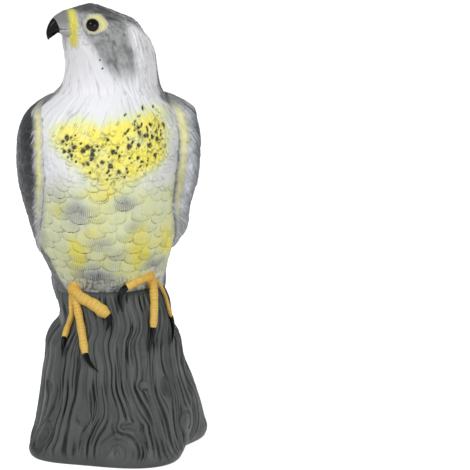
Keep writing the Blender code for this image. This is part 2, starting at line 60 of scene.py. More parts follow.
STUMP_AXIS = (4.0, 10.0)
# Stations of a form: height, the outline's middle as x and y from the form's axis, half
# width, reach to the front and to the back, squareness, and turn in degrees.
STUMP = [
    (0, -0.5, -1, 73, 84, 80, 2.9, -14),
    (9, -0.5, -1, 74.5, 83, 79, 2.8, -14),
    (20, 0.5, -1, 73.5, 80, 74, 2.5, -11),
    (33, 1, -4, 72, 77, 70, 2.4, -9),
    (52, 1, -6, 69, 73, 66, 2.4, -7),
    (77, -2, -8, 63.5, 70, 62, 2.4, -6),
    (92, -3, -8, 61.5, 67, 60, 2.3, 0),
    (104, -3.5, -7, 60, 65, 59, 2.3, 0),
    (111, -3.5, -5, 56, 64, 59, 2.3, 0),
    (119, -1, -3, 51.5, 64, 60, 2.4, 0),
    (138, -3, 0, 50, 64, 60, 2.4, 0),
    (147, -5, 2, 47.5, 62, 60, 2.3, 0),
    (152, -5, 2, 43.5, 58, 57, 2.2, 0),
]
# Root swellings: direction, how far round and how high they reach, and how proud they stand.
ROOTS = [
    (math.radians(-150), 0.30, 17, 4),
    (math.radians(-118), 0.30, 10, -2.5),
    (math.radians(-24), 0.40, 13, -8),
    (math.radians(-62), 0.40, 40, 4),
    (math.radians(14), 0.36, 52, 6),
    (math.radians(128), 0.45, 40, 4),
    (math.radians(176), 0.22, 120, 3),
]
# The plug's flange reaches this far past the hole.
FLANGE_LAP = 4.5
HOLE_RADIUS = (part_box("base_plug")[1].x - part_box("base_plug")[0].x) / MM / 2 - FLANGE_LAP
HOLE_CENTRE = (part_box("base_plug")[0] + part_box("base_plug")[1]) / 2 / MM
# The standing ring: how far in from the outline it starts, and its width.
FOOT_INSET = 4.0
FOOT_RING = 16.0
FLOOR_RECESS = 7.0
WALL = 2.2
BARK_FRONT_COLUMNS = 470
BARK_BACK_COLUMNS = 290
BARK_ROWS = 100
BARK_START = 4.2
FURROWS = 18
FURROW_DEPTH = 2.6
FURROW_WIDTH = 0.17
FURROW_SWAY = 0.10
FURROW_ENDS = 14.0
SWAY_ROUNDS = 8
# Grooves: their number, depth and half width, and the layers they lie in, each with its
# share of the number and of the depth.
GROOVES = 60
GROOVE_DEPTH = 1.8
GROOVE_HALF_WIDTH = 0.85
GROOVE_LAYERS = ((GROOVES, 1.0), (GROOVES * 4 // 3, 0.6))
BARK_RADIUS = 68.0
# Knots: direction, height, radius, how far the middle stands out (or in), and how tall
# the knot is for its width.
KNOTS = [
    (math.radians(-83), 37, 7.5, -2.6, 0.45),
    (math.radians(-91), 13, 15.0, 2.0, 1.1),
    (math.radians(-70), 73, 4.5, -2.6, 0.8),
    (math.radians(-116), 43, 5.0, 1.5, 1.2),
    (math.radians(-31), 14, 3.0, -1.8, 1.0),
    (math.radians(-38), 33, 8.5, 1.6, 1.1),
    (math.radians(-52), 68, 6.0, -1.4, 1.5),
    (math.radians(-146), 22, 9.0, 1.8, 1.4),
    (math.radians(-150), 66, 4.0, -1.6, 1.2),
    (math.radians(40), 58, 7.0, 1.4, 1.3),
    (math.radians(96), 34, 9.0, 1.6, 1.3),
    (math.radians(150), 76, 5.0, -1.8, 1.2),
]
KNOT_RING = 4.6
KNOT_LINE = 0.9
KNOT_REACH = 42
# Knots that bulge this far have a faint outline, and those above this height no rings.
BULGE = 1.9
RINGS_BELOW = 40


def smooth_rows(rows, count):
    """Station rows filled in smoothly, evenly spaced along the form."""
    rows = np.array(rows, float)
    steps = np.linalg.norm(np.diff(rows[:, :5], axis=0), axis=1)
    knots = np.concatenate(([0.0], np.cumsum(steps)))
    slopes = np.gradient(rows, knots, axis=0)
    at = np.linspace(0.0, knots[-1], count)
    i = np.clip(np.searchsorted(knots, at, side="right") - 1, 0, len(knots) - 2)
    span = (knots[i + 1] - knots[i])[:, None]
    t = (at - knots[i])[:, None] / span
    low = (2 * t**3 - 3 * t**2 + 1) * rows[i] + (t**3 - 2 * t**2 + t) * span * slopes[i]
    high = (3 * t**2 - 2 * t**3) * rows[i + 1] + (t**3 - t**2) * span * slopes[i + 1]
    return low + high


def rows_at(stations, heights):
    """Station values at given heights."""
    fine = smooth_rows(stations, 400)
    return np.stack([np.interp(heights, fine[:, 0], fine[:, k]) for k in range(8)], -1)


def form_points(rows, angles, axis, base, proud=0.0):
    """Points on a form: one outline for each row, in the directions of angles."""
    level, x, y, side, front, back, power, turn = (rows[:, None, k] for k in range(8))
    ahead = -math.pi / 2 + np.radians(turn)
    forward = np.cos(angles - ahead)
    length = np.where(forward > 0, front, back)
    total = (np.abs(forward) / length) ** power + (np.abs(np.sin(angles - ahead)) / side) ** power
    reach = total ** (-1.0 / power) + proud
    return np.stack([
        axis[0] + x + reach * np.cos(angles),
        axis[1] + y + reach * np.sin(angles),
        base + level + 0 * reach,
    ], -1)


def away(angles, direction):
    """How far each angle lies from a direction, from -pi to pi."""
    return (angles - direction + math.pi) % (2 * math.pi) - math.pi


def cell_value(*cells):
    """A repeatable number from 0 to 1 for each cell of a lattice."""
    factors = (73856093, 19349663, 83492791)
    mix = sum(np.asarray(c).astype(np.int64) * k for c, k in zip(cells, factors))
    mix = (mix ^ (mix >> 13)) * 1274126177
    return ((mix ^ (mix >> 16)) & 0xFFFF) / 0xFFFF


def wander(points, size, seed=0):
    """Smooth noise from -1 to 1 over points, with bumps about size across."""
    q = points / size + seed * 17.13
    cell = np.floor(q).astype(np.int64)
    t = q - cell
    t = t * t * (3 - 2 * t)
    total = 0.0
    for corner in itertools.product((0, 1), repeat=3):
        weight = np.prod(np.where(corner, t, 1 - t), axis=-1)
        total = total + weight * cell_value(*(cell[..., k] + corner[k] for k in range(3)))
    return total * 2 - 1


def unit(vectors):
    """The vectors at length 1."""
    return vectors / np.maximum(np.linalg.norm(vectors, axis=-1, keepdims=True), 1e-9)


def ease(value, low, high):
    """0 below low, 1 above high, with a soft step between."""
    t = np.clip((value - low) / (high - low), 0, 1)
    return t * t * (3 - 2 * t)


def hump(value, width):
    """1 where value is 0, and fading away about width to both sides of it."""
    return np.exp(-(value / width) ** 2)


def normals_of(points):
    """Outward directions for a grid whose first and last columns meet."""
    across = np.gradient(points, axis=1)
    across[:, 0] = across[:, -1] = across[:, 0] + across[:, -1]
    normal = unit(np.cross(unit(across), unit(np.gradient(points, axis=0))))
    inward = (normal * (points - points.mean((0, 1)))).sum() < 0
    return -normal if inward else normal


def box_middle(node):
    return sum(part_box(node), Vector()) / 2


def mesh_of(bm, name):
    """The finished mesh of a bmesh, which is freed."""
    mesh = bpy.data.meshes.new(name)
    bm.to_mesh(mesh)
    bm.free()
    return mesh


def put_in_scene(name, data):
    made = bpy.data.objects.new(name, data)
    bpy.context.scene.collection.objects.link(made)
    return made


def paint_weights(mesh, coat):
    """Four paint weights for each point, which the materials read."""
    weights = mesh.attributes.new("coat", "FLOAT_COLOR", "POINT")
    weights.data.foreach_set("color", coat.astype(np.float32).ravel())


def lay_skin(name, points, coat, close_ends=True):
    """A mesh over a grid of points, its sides welded and its ends filled."""
    rows, columns = points.shape[:2]
    bm = bmesh.new()
    bmesh.ops.create_grid(bm, x_segments=columns - 1, y_segments=rows - 1, size=1.0)
    mesh = bpy.data.meshes.new(name)
    bm.to_mesh(mesh)
    flat = np.empty(rows * columns * 3)
    mesh.vertices.foreach_get("co", flat)
    place = flat.reshape(-1, 3)
    column = np.rint((place[:, 0] + 1) / 2 * (columns - 1)).astype(int)
    row = np.rint((place[:, 1] + 1) / 2 * (rows - 1)).astype(int)
    mesh.vertices.foreach_set("co", (points[row, column] * MM).ravel())
    paint_weights(mesh, coat[row, column])
    bm.clear()
    bm.from_mesh(mesh)
    rims = [v for v in bm.verts if v.is_boundary]
    bmesh.ops.remove_doubles(bm, verts=rims, dist=0.02 * MM)
    if close_ends:
        rims = [e for e in bm.edges if e.is_boundary]
        bmesh.ops.holes_fill(bm, edges=rims, sides=0)
    bmesh.ops.recalc_face_normals(bm, faces=bm.faces)
    bm.to_mesh(mesh)
    bm.free()
    mesh.shade_smooth()
    return put_in_scene(name, mesh)


def coat_of(like, first=0.0, second=0.0, third=0.0, fourth=1.0):
    """Paint weights for a grid, as the four values of its coat attribute."""
    shape = like.shape[:2]
    return np.stack([np.broadcast_to(w, shape) for w in (first, second, third, fourth)], -1)


def tone(red, green, blue):
    """A colour as mixed on a paint card, 0 to 255, as the shader's linear values."""
    return tuple(((c / 255 + 0.055) / 1.055) ** 2.4 if c > 10 else c / 255 / 12.92
                 for c in (red, green, blue)) + (1.0,)


def add(tree, kind, inputs=(), **settings):
    """A shader node with its settings and its inputs, which are values or sockets."""
    made = tree.nodes.new(kind)
    for key, value in settings.items():
        setattr(made, key, value)
    for key, value in dict(inputs).items():
        if isinstance(value, bpy.types.NodeSocket):
            tree.links.new(value, made.inputs[key])
        else:
            made.inputs[key].default_value = value
    return made


def blend_in(tree, amount, below, above):
    """One colour over another by a weight."""
    inputs = {0: amount, 6: below, 7: above}
    return add(tree, "ShaderNodeMix", inputs, data_type="RGBA").outputs[2]


def reckon(tree, operation, *values):
    """A sum, product or the like of values or sockets."""
    return add(tree, "ShaderNodeMath", enumerate(values), operation=operation).outputs[0]


def grain(tree, place, scale, detail=3.0, roughness=0.55):
    """Noise from about 0 to 1."""
    return add(tree, "ShaderNodeTexNoise", {
        "Vector": place, "Scale": scale, "Detail": detail, "Roughness": roughness,
    }).outputs["Fac"]


def spread(tree, value, low, high):
    """A value stretched to run from 0 at low to 1 at high."""
    made = add(tree, "ShaderNodeMapRange", {"Value": value, "From Min": low, "From Max": high})
    return made.outputs["Result"]


def read_weights(tree):
    """The paint weights that lie on the mesh."""
    coat = add(tree, "ShaderNodeAttribute", attribute_name="coat").outputs["Color"]
    return add(tree, "ShaderNodeSeparateColor", {"Color": coat}).outputs


def roughen(tree, shader, height, strength, depth):
    """A grain in the surface that is too fine for the mesh."""
    bump = add(tree, "ShaderNodeBump", {
        "Height": height, "Strength": strength, "Distance": depth,
    })
    tree.links.new(bump.outputs["Normal"], shader.inputs["Normal"])


def start_material(name):
    """A new material, its tree, its shader and the place on the object."""
    material = bpy.data.materials.new(name)
    material.use_nodes = True
    tree = material.node_tree
    place = add(tree, "ShaderNodeTexCoord").outputs["Object"]
    return material, tree, tree.nodes["Principled BSDF"], place


def bark_plastic():
    """Dark satin plastic, with a painted highlight on the ridges and painted shade in the grooves.
    """
    material, tree, shader, place = start_material("bark_plastic")
    weights = read_weights(tree)
    cloudy = spread(tree, grain(tree, place, 22.0), 0.3, 0.7)
    colour = blend_in(tree, cloudy, tone(64, 68, 67), tone(80, 84, 83))
    # Painted highlight on the ridges (mixed with random paler streaks), then painted shade in the
    # grooves, knot outlines, rings and pits
    colour = blend_in(tree, weights["Green"], colour, tone(100, 104, 103))
    colour = blend_in(tree, weights["Red"], colour, tone(24, 26, 27))
    tree.links.new(colour, shader.inputs["Base Color"])
    tree.links.new(spread(tree, grain(tree, place, 60.0), -0.9, 1.9), shader.inputs["Roughness"])
    roughen(tree, shader, grain(tree, place, 900.0, 2.0), 0.12, 0.6 * MM)
    shader.inputs["Specular IOR Level"].default_value = 0.35
    return material


def root_swell(angles, heights):
    """How far the root swellings stand out of the stump's form."""
    total = 0.0
    for direction, width, tall, proud in ROOTS:
        beside = away(angles, direction) / width
        total = total + proud * np.exp(-beside ** 2 - (heights / tall) ** 2)
    return total


def bark_relief(angles, heights, points):
    """Bark: broad furrows, fine grooves that flow round the knots, and the knots themselves."""
    ends = np.clip(np.minimum(heights, PERCH - heights) / FURROW_ENDS, 0, 1)
    column = angles
    for _ in range(SWAY_ROUNDS):
        column = angles - FURROW_SWAY * np.sin(math.pi * heights / PERCH + 3 * column) * ends
    from_furrow = np.abs((column * FURROWS / (2 * math.pi) + 0.5) % 1 - 0.5)
    furrow = hump(from_furrow, FURROW_WIDTH) * ends
    flow = BARK_RADIUS * column + 6.5 * wander(points * (1, 1, 0.9), 30, 1)
    flow = flow + 1.6 * wander(points * (1, 1, 0.6), 11, 2)
    lumps = np.zeros_like(flow)
    calm = np.ones_like(flow)
    # dark collects painted shade where knot outlines, rings, sunken pits and grooves are cut
    dark = np.zeros_like(flow)
    broken = ease(wander(points, 9, 5), -0.6, 0.3)
    for direction, height, radius, middle, tall in KNOTS:
        beside = BARK_RADIUS * away(angles, direction) + 0.8 * wander(points, 7, 3)
        r = np.hypot(beside, (heights - height) / tall)
        bend = (radius / np.maximum(r, radius * 0.75)) ** 2
        flow = flow - beside * bend * hump(r, KNOT_REACH)
        inside = 1 - ease(r, radius * 0.75, radius * 1.15)
        calm = calm * (1 - inside)
        rings = (0.5 + 0.5 * np.cos((r / radius - 0.45) * radius / KNOT_RING * 2 * math.pi)) ** 5
        outline = hump(r - radius, KNOT_LINE) * broken * (1.0 if middle < BULGE else 0.25)
        carved = 0.7 * rings * broken * (height < RINGS_BELOW)
        lumps = lumps + inside * (middle * (1 - (r / radius / 1.2) ** 2) - carved) - outline
        pit = inside * max(0, -middle) * 0.3 * (1 - ease(r, radius * 0.3, radius * 0.9))
        dark = np.maximum.reduce([dark, 0.8 * outline, 0.8 * inside * carved, pit])
    cell = flow / (2 * math.pi * BARK_RADIUS) * GROOVES
    relief = np.zeros_like(flow)
    ridge = np.zeros_like(flow)
    for layer, (count, depth) in enumerate(GROOVE_LAYERS):
        q = cell * count / GROOVES + 0.37 * layer
        index = np.floor(q)
        home = index % count
        shift = (cell_value(home, 7 + 0 * index, layer) - 0.5) * 0.5
        turn = q - index - 0.5 - shift
        off = turn * 2 * math.pi * BARK_RADIUS / count
        along = np.stack([home * 5.3, heights / 26, 0 * heights + 9 * layer], -1)
        cut = ease(wander(along, 1.0, 6), -0.6, 0.3)
        width = GROOVE_HALF_WIDTH * (0.5 + 0.7 * cut)
        line = hump(off, width) * cut * depth * calm
        relief = relief - GROOVE_DEPTH * line
        dark = np.maximum(dark, ease(line, 0.12, 0.6))
        if layer == 0:
            ridge = np.sin(math.pi * np.clip(np.abs(turn), 0, 0.5)) * calm
    relief = relief + 1.1 * (ridge - 0.6) + lumps + 0.9 * wander(points, 24, 8)
    relief = relief - FURROW_DEPTH * furrow
    # Painted highlight on the ridges between the grooves, mixed with random paler streaks
    ridge_highlight_and_streaks = 0.5 * ridge * (1 - furrow) + 0.6 * ease(wander(points * (1, 1, 0.3), 5, 9), 0.1, 0.9)
    return relief, dark, np.clip(ridge_highlight_and_streaks * (1 - dark), 0, 1)


def spaced_angles(bounds, counts):
    """Directions between bounds in degrees, with so many columns in each stretch."""
    knots = np.cumsum([0, *counts])
    return np.radians(np.interp(np.arange(knots[-1] + 1), knots, bounds))


def build_stump():
    angles = spaced_angles([-175, -5, 185], [BARK_FRONT_COLUMNS, BARK_BACK_COLUMNS])
    rows = smooth_rows(STUMP, BARK_ROWS)
    rows = rows[rows[:, 0] > BARK_START]
    grown = root_swell(angles, rows[:, :1])
    side = form_points(rows, angles, STUMP_AXIS, 0.0, grown)
    relief, dark, ridge_highlight_and_streaks = bark_relief(angles[None, :] + 0 * side[..., 0], side[..., 2], side)
    fade = ease(side[..., 2], 3, 14) * (1 - 0.8 * ease(side[..., 2], PERCH - 5, PERCH))
    outside = side + normals_of(side) * ((relief - 0.3) * fade)[..., None]

    middle = np.array([*STUMP_AXIS, 0.0])
    hole = np.array([HOLE_CENTRE.x, HOLE_CENTRE.y, 0.0])
    foot = smooth_rows(STUMP, 2)[:1]
    base = form_points(foot, angles, STUMP_AXIS, 0.0, root_swell(angles, 0.0))[0]
    ring = FOOT_INSET + FOOT_RING

    def inset(outline, by, height):
        flat = (outline - middle) * (1, 1, 0)
        out = middle + flat * (1 - by / np.linalg.norm(flat, axis=-1, keepdims=True))
        out[:, 2] = height
        return out

    def round_hole(radius, height):
        return hole + unit((base - hole) * (1, 1, 0)) * radius + (0, 0, height)

    bottom = [
        round_hole(HOLE_RADIUS, FLOOR_RECESS + WALL),
        round_hole(HOLE_RADIUS, FLOOR_RECESS),
        round_hole(HOLE_RADIUS + 14, FLOOR_RECESS),
        inset(base, ring + 5, FLOOR_RECESS),
        inset(base, ring + 1.5, FLOOR_RECESS - 2.5),
        inset(base, ring, 0.6),
        inset(base, ring - 0.6, 0.0),
        inset(base, FOOT_INSET, 0.0),
        inset(base, 2.2, 0.4),
        inset(base, 0.9, 1.5),
        inset(base, 0.2, 3.0),
    ]
    top = outside[-1]
    inner = [inset(side[k], WALL + 0.8, side[k][0, 2]) for k in range(len(side) - 2, 6, -12)]
    inside = [
        inset(top, 3, PERCH + 0.1),
        inset(top, 11, PERCH),
        inset(top, 11, PERCH - WALL),
        *inner,
        inset(base, ring + 4, FLOOR_RECESS + WALL),
    ]
    grid = np.concatenate([np.stack(bottom), outside, np.stack(inside), bottom[0][None]])
    pad = ((len(bottom), len(inside) + 1), (0, 0))
    # The stump's weights: painted shade in the cuts, and painted highlight on the ridges
    coat = coat_of(grid, np.pad(dark * fade, pad), np.pad(ridge_highlight_and_streaks * fade * 0.5, pad))
    return lay_skin("stump", grid, coat, close_ends=False)


stump = build_stump()
stump.data.materials.append(bark_plastic())
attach(stump, "decoy")
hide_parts("stump_shell")


# The bird's body: the upper half of the same moulding.  Its feathers are sculpted in the
# mould, small flakes and pits on the breast and overlapping scallops on the belly and
# back, and the white, yellow and grey are sprayed on, with painted shade in the cuts.
BIRD_AXIS = (-3.0, -10.0)
TORSO = [
    (0, -0.5, 21, 49.5, 50, 61, 2.1, 0),
    (10, -0.5, 18.5, 51.5, 54.5, 67, 2.2, 0),
    (28, -2, 14, 57, 61, 77, 2.3, 0),
    (50, -2, 8, 61.5, 69, 83, 2.4, 0),
    (88, -3, 1, 64, 77, 80, 2.4, 0),
    (124, -3, -5, 68, 77, 74, 2.4, 0),
    (146, -2, -8, 67, 72, 67, 2.3, -2),
    (159, -1, -9, 62, 66, 60, 2.2, -10),
    (171, 0.5, -10, 51.5, 56, 53, 2.1, -25),
    (185, 2.5, -14, 41, 43, 46, 2.0, -45),
    (200, 2, -19, 38, 38.5, 43, 2.0, -60),
    (216, 1, -24, 34, 38.5, 41, 2.1, -62),
    (230, -3, -30, 31, 36, 37, 2.2, -62),
    (242, -7, -35, 26.5, 31.5, 31, 2.2, -62),
    (250, -12, -36, 19, 23, 20, 2.1, -62),
    (254.5, -15, -36, 8.5, 10.5, 8.5, 2.0, -62),
    (256, -15, -36, 3, 3, 3, 2.0, -62),
]
BODY_TOP = 184.0
# The body's skin dives under the head's between these heights, and the head's skin under
# the body's just below.
BODY_DIVE = (177.0, 184.0)
HEAD_DIVE = (171.0, 178.0)
DIVE = 1.7
BODY_ROWS = 228
BODY_ROWS_UNDER = 6
BODY_UNDER = 3
FRONT_COLUMNS = 292
FLANK_COLUMNS = 38
BACK_COLUMNS = 50
# Rows of feathers in the order they are laid: the lowest and highest row, the step between
# rows, a feather's width, length, lift and barbs, the first and last direction in degrees,
# the lean, how unevenly they lie and how flat their tips are.
FEATHER_ROWS = [
    (-1, 104, 9.2, 18, 17, 1.3, 0.42, -215, 35, 0.0, 0.15, 1.75),  # belly and flanks
    (4, 178, 9.5, 12.5, 15, 1.3, 0.26, 48, 132, 0.0, 0.12, 1.0),  # back, between the wings
    (98, 116, 6.5, 12.5, 12, 1.1, 0.3, -205, 25, -0.15, 0.22, 1.5),  # just under the band
    (112, 152, 4.0, 4.6, 8, 1.1, 0.0, -205, 25, -0.35, 0.5, 1.0),  # ragged flakes of the band
]
# Combed strokes cover the body's skin from here up, round a neck of about this radius.
COMBED_FROM = (140, 156)
COMBED_RADIUS = 58.0
# Upper and lower edge of the pitted yellow band on the breast, as heights above the perch
# at distances from the bird's middle.
BAND_PLACES = (-50, -28, -8, 0, 20, 36, 52)
BAND_TOP = (158, 164, 162, 163, 168, 172, 170)
BAND_LOW = (142, 122, 100, 99, 110, 118, 132)
PITS_TOP = (154, 149, 144, 146, 160, 167, 160)
PITS_LOW = (138, 122, 108, 108, 112, 117, 134)
PITS = 165
LONG_PITS = 20
PIT_DEPTH = 1.25
PIT_REACH = 5.5
# Sprayed spots on the belly: x, height above the perch, half width, half height, amount.
YELLOW_SPOTS = [
    (-31, 37, 8, 14, 0.8), (24, 42, 9, 20, 0.65), (48, 44, 7, 16, 0.6), (-45, 88, 7, 13, 0.35),
    (54, 96, 7, 15, 0.45), (-8, 99, 15, 9, 0.6), (-18, 62, 9, 10, 0.25),
]
GREY_SPOTS = [
    (-32, 80, 11, 15, 0.6), (11, 88, 10, 8, 0.55), (20, 65, 9, 7, 0.35), (-8, 49, 10, 7, 0.4),
    (-13, 17, 16, 11, 0.85), (38, 24, 11, 8, 0.55), (-47, 104, 7, 18, 0.6), (4, 36, 8, 8, 0.3),
]
# Where the grey of the back begins, as y at heights above the perch.
MANTLE_HEIGHTS = (150, 162, 172, 184, 194, 202, 218)
MANTLE_EDGE = (-4, -26, -40, -36, -12, -4, 10)
# The grey flank behind the belly's white fringe: its edge at heights above the perch.
FLANK_HEIGHTS = (0, 10, 28, 46)
FLANK_EDGE = (-37, -45, -54, -66)
# Width of the painted shade round a feather's edge.
EDGE_SHADE_WIDTH = 1.2
DOWN = np.array([0.0, 0.0, -1.0])
dice = np.random.default_rng(11)


def tree_of(spots):
    tree = KDTree(len(spots))
    for index, spot in enumerate(spots):
        tree.insert(spot, index)
    tree.balance()
    return tree


class Coat:
    """A fine grid over a form, on which feathers are raised one by one."""

    def __init__(self, points):
        self.points = points
        self.flat = points.reshape(-1, 3)
        self.normal = normals_of(points).reshape(-1, 3)
        blank = np.zeros((5, len(self.flat)))
        self.relief, self.seam, self.barb, self.edge, self.shade = blank
        self.tree = tree_of(self.flat)

    def nearest(self, spot):
        return self.tree.find(spot)[1]

    def around(self, spot, reach):
        return np.array([index for _, index, _ in self.tree.find_range(spot, reach)])

    def feather(self, spot, aim, width, length, lift, barbs=0.0, gap=1.9, rim=1.1,
                shaft=0.0, flat=1.0):
        """One feather: its rounded tip is centred on spot, and its root lies length behind.

        The barbs are fine grooves, a gap apart.  They fan out from the root, or slant off
        the shaft where there is one.  The edge shade is painted shade round the feather: a line
        under its tip and a band just inside its rim.  The edge values are a painted highlight a
        little inside the rim, and the barb values mark the barbs' grooves for painted shade.
        """
        home = self.nearest(spot)
        spot, up = self.flat[home], self.normal[home]
        aim = unit(aim - up * (aim @ up))
        side = np.cross(up, aim)
        back = (length - width / 2) / 2
        near = self.around(spot - aim * back, (length + width / 2) / 2 + 1.5)
        if len(near) == 0:
            return
        near = near[(self.normal[near] @ up) > 0.2]
        off = self.flat[near] - spot
        along, across = off @ aim, off @ side
        edge = width / 2 - np.hypot(np.maximum(along, 0) * flat, across)
        # Painted shadow in a thin line just under the tip, where the feather overhangs the one
        # below
        below = (edge <= 0) & (edge > -EDGE_SHADE_WIDTH) & (along > -length * 0.3)
        tip = np.clip(0.25 + along[below] / width * 2, 0.1, 1)
        line = (1 + edge[below] / EDGE_SHADE_WIDTH) * tip
        self.seam[near[below]] = np.maximum(self.seam[near[below]], line)
        inside = (edge > 0) & (along > -length)
        near, edge, along, across = near[inside], edge[inside], along[inside], across[inside]
        rise = (along + length) / (length + width / 2)
        if shaft:
            wave = 0.5 + 0.5 * np.cos((along + np.abs(across) * 1.3) * 2 * math.pi / gap)
            wave = wave * ease(np.abs(across), 0.3, 0.9)
        else:
            turned = np.arctan2(across, along + length + width * 0.4)
            wave = 0.5 - 0.5 * np.cos(turned * 2 * math.pi * (length + width * 0.7) / gap)
            wave = wave * ease(rise, 0.3, 0.7)
        self.relief[near] = lift * (0.15 + 0.85 * rise) * np.sqrt(np.clip(edge / rim, 0, 1))
        self.relief[near] += shaft * hump(across, 0.7) - barbs * wave
        # Painted shade just inside the rim, the barbs' grooves kept for painted shade, and a
        # painted highlight a little inside the rim
        self.seam[near] = 0.5 * (1 - np.clip(edge / (rim * 0.5), 0, 1))
        self.barb[near] = wave * (barbs > 0)
        self.edge[near] = hump(edge - 1.0, 0.7) * ease(along, -length * 0.7, 0)
        self.shade[near] = dice.random()

    def grid(self, values):
        return values.reshape(self.points.shape[:2])

    def raised(self, relief):
        return self.points + (self.normal * relief[:, None]).reshape(self.points.shape)


def torso_spot(angle, height):
    row = rows_at(TORSO, np.array([height]))
    return form_points(row, np.array([angle]), BIRD_AXIS, PERCH)[0, 0]


def feather_rows(
    coat, low, high, step, width, length, lift, barbs, first, last, lean, jitter, flat,
):
    """Rows of scallops from low to high between two directions, the lowest laid first."""
    first, last = math.radians(first), math.radians(last)
    level = low
    odd = False
    while level < high:
        row = rows_at(TORSO, np.array([level]))[0]
        around = (row[3] + (row[4] + row[5]) / 2) / 2
        pitch = width * 0.93 / around
        angle = first + (pitch / 2 if odd else 0.0)
        while angle < last:
            turn = angle + pitch * jitter * dice.normal()
            height = level + step * jitter * 1.3 * dice.normal()
            size = 1 + 0.10 * dice.normal()
            outward = np.array([math.cos(turn), math.sin(turn), 0.0])
            sideways = np.array([-outward[1], outward[0], 0.0])
            aim = DOWN + sideways * (lean + 0.10 * dice.normal())
            coat.feather(torso_spot(turn, height), aim, width * size, length * size,
                         lift * (1 + 0.15 * dice.normal()), barbs, flat=flat)
            angle += pitch
        level += step
        odd = not odd


def front_of(stations, axis, base, x, height):
    """The point on a form's front at a given x and height above the form's base."""
    angles = np.linspace(-0.12, 0.12 - math.pi, 300)
    front = form_points(rows_at(stations, [height]), angles, axis, base)[0]
    return np.array([np.interp(-x, -front[:, 0], front[:, k]) for k in range(3)])


def hair(across, along, wide, long, seed):
    """Noise in streaks, wide across the lie of the feathers and long down it."""
    return wander(np.stack([across, along * (wide / long), 0 * across], -1), wide, seed)


def mantle_mask(points, ragged):
    """The grey of the back, which comes round the shoulders under the neck."""
    height = points[..., 2] - PERCH
    edge = np.interp(height, MANTLE_HEIGHTS, MANTLE_EDGE)
    return ease(points[..., 1] + ragged - edge, -5, 8) * (1 - ease(height + 3 * ragged, 186, 214))


def spots(table, x, height):
    """The weight of soft sprayed spots."""
    total = 0.0
    for middle, level, wide, tall, amount in table:
        fading = -((x - middle) / wide) ** 2 - ((height - level) / tall) ** 2
        total = np.maximum(total, amount * np.exp(fading))
    return total


def cut_pits(coat):
    """Pits on the breast: cuts that lean one way, big in the middle of the band."""
    pits = np.zeros(len(coat.flat))
    for number in range(PITS):
        x = dice.uniform(-43, 47)
        top, low = (np.interp(x, BAND_PLACES, edge) for edge in (PITS_TOP, PITS_LOW))
        share = dice.random()
        stroke = number > PITS - LONG_PITS
        if stroke:
            x, share = dice.uniform(12, 49), dice.uniform(0.75, 1.15)
        home = coat.nearest(front_of(TORSO, BIRD_AXIS, PERCH, x, low + (top - low) * share))
        if pits[home] > 0.05:
            continue
        spot, up = coat.flat[home], coat.normal[home]
        aim = unit(np.cross(up, np.cross(np.array([-0.55 + 0.35 * dice.normal(), 0, -1.0]), up)))
        big = number % 3 == 0 and 0.15 < share < 0.85
        size = dice.uniform(1.5, 2.3) if big else dice.uniform(0.5, 1.1)
        if stroke:
            size = dice.uniform(0.7, 1.0)
        long = 3.4 if stroke else 1.5
        near = coat.around(spot, PIT_REACH)
        off = coat.flat[near] - spot
        along, across = off @ aim, off @ np.cross(up, aim)
        wobble = 0.28 * wander(coat.flat[near], 1.4, 4)
        half = 1.05 * size * (1.2 - 0.35 * along / 2.5)
        shape = np.hypot(across / half, along / (long * size))
        pits[near] = np.maximum(pits[near], 1 - ease(shape + wobble, 0.55, 1.15))
    return pits


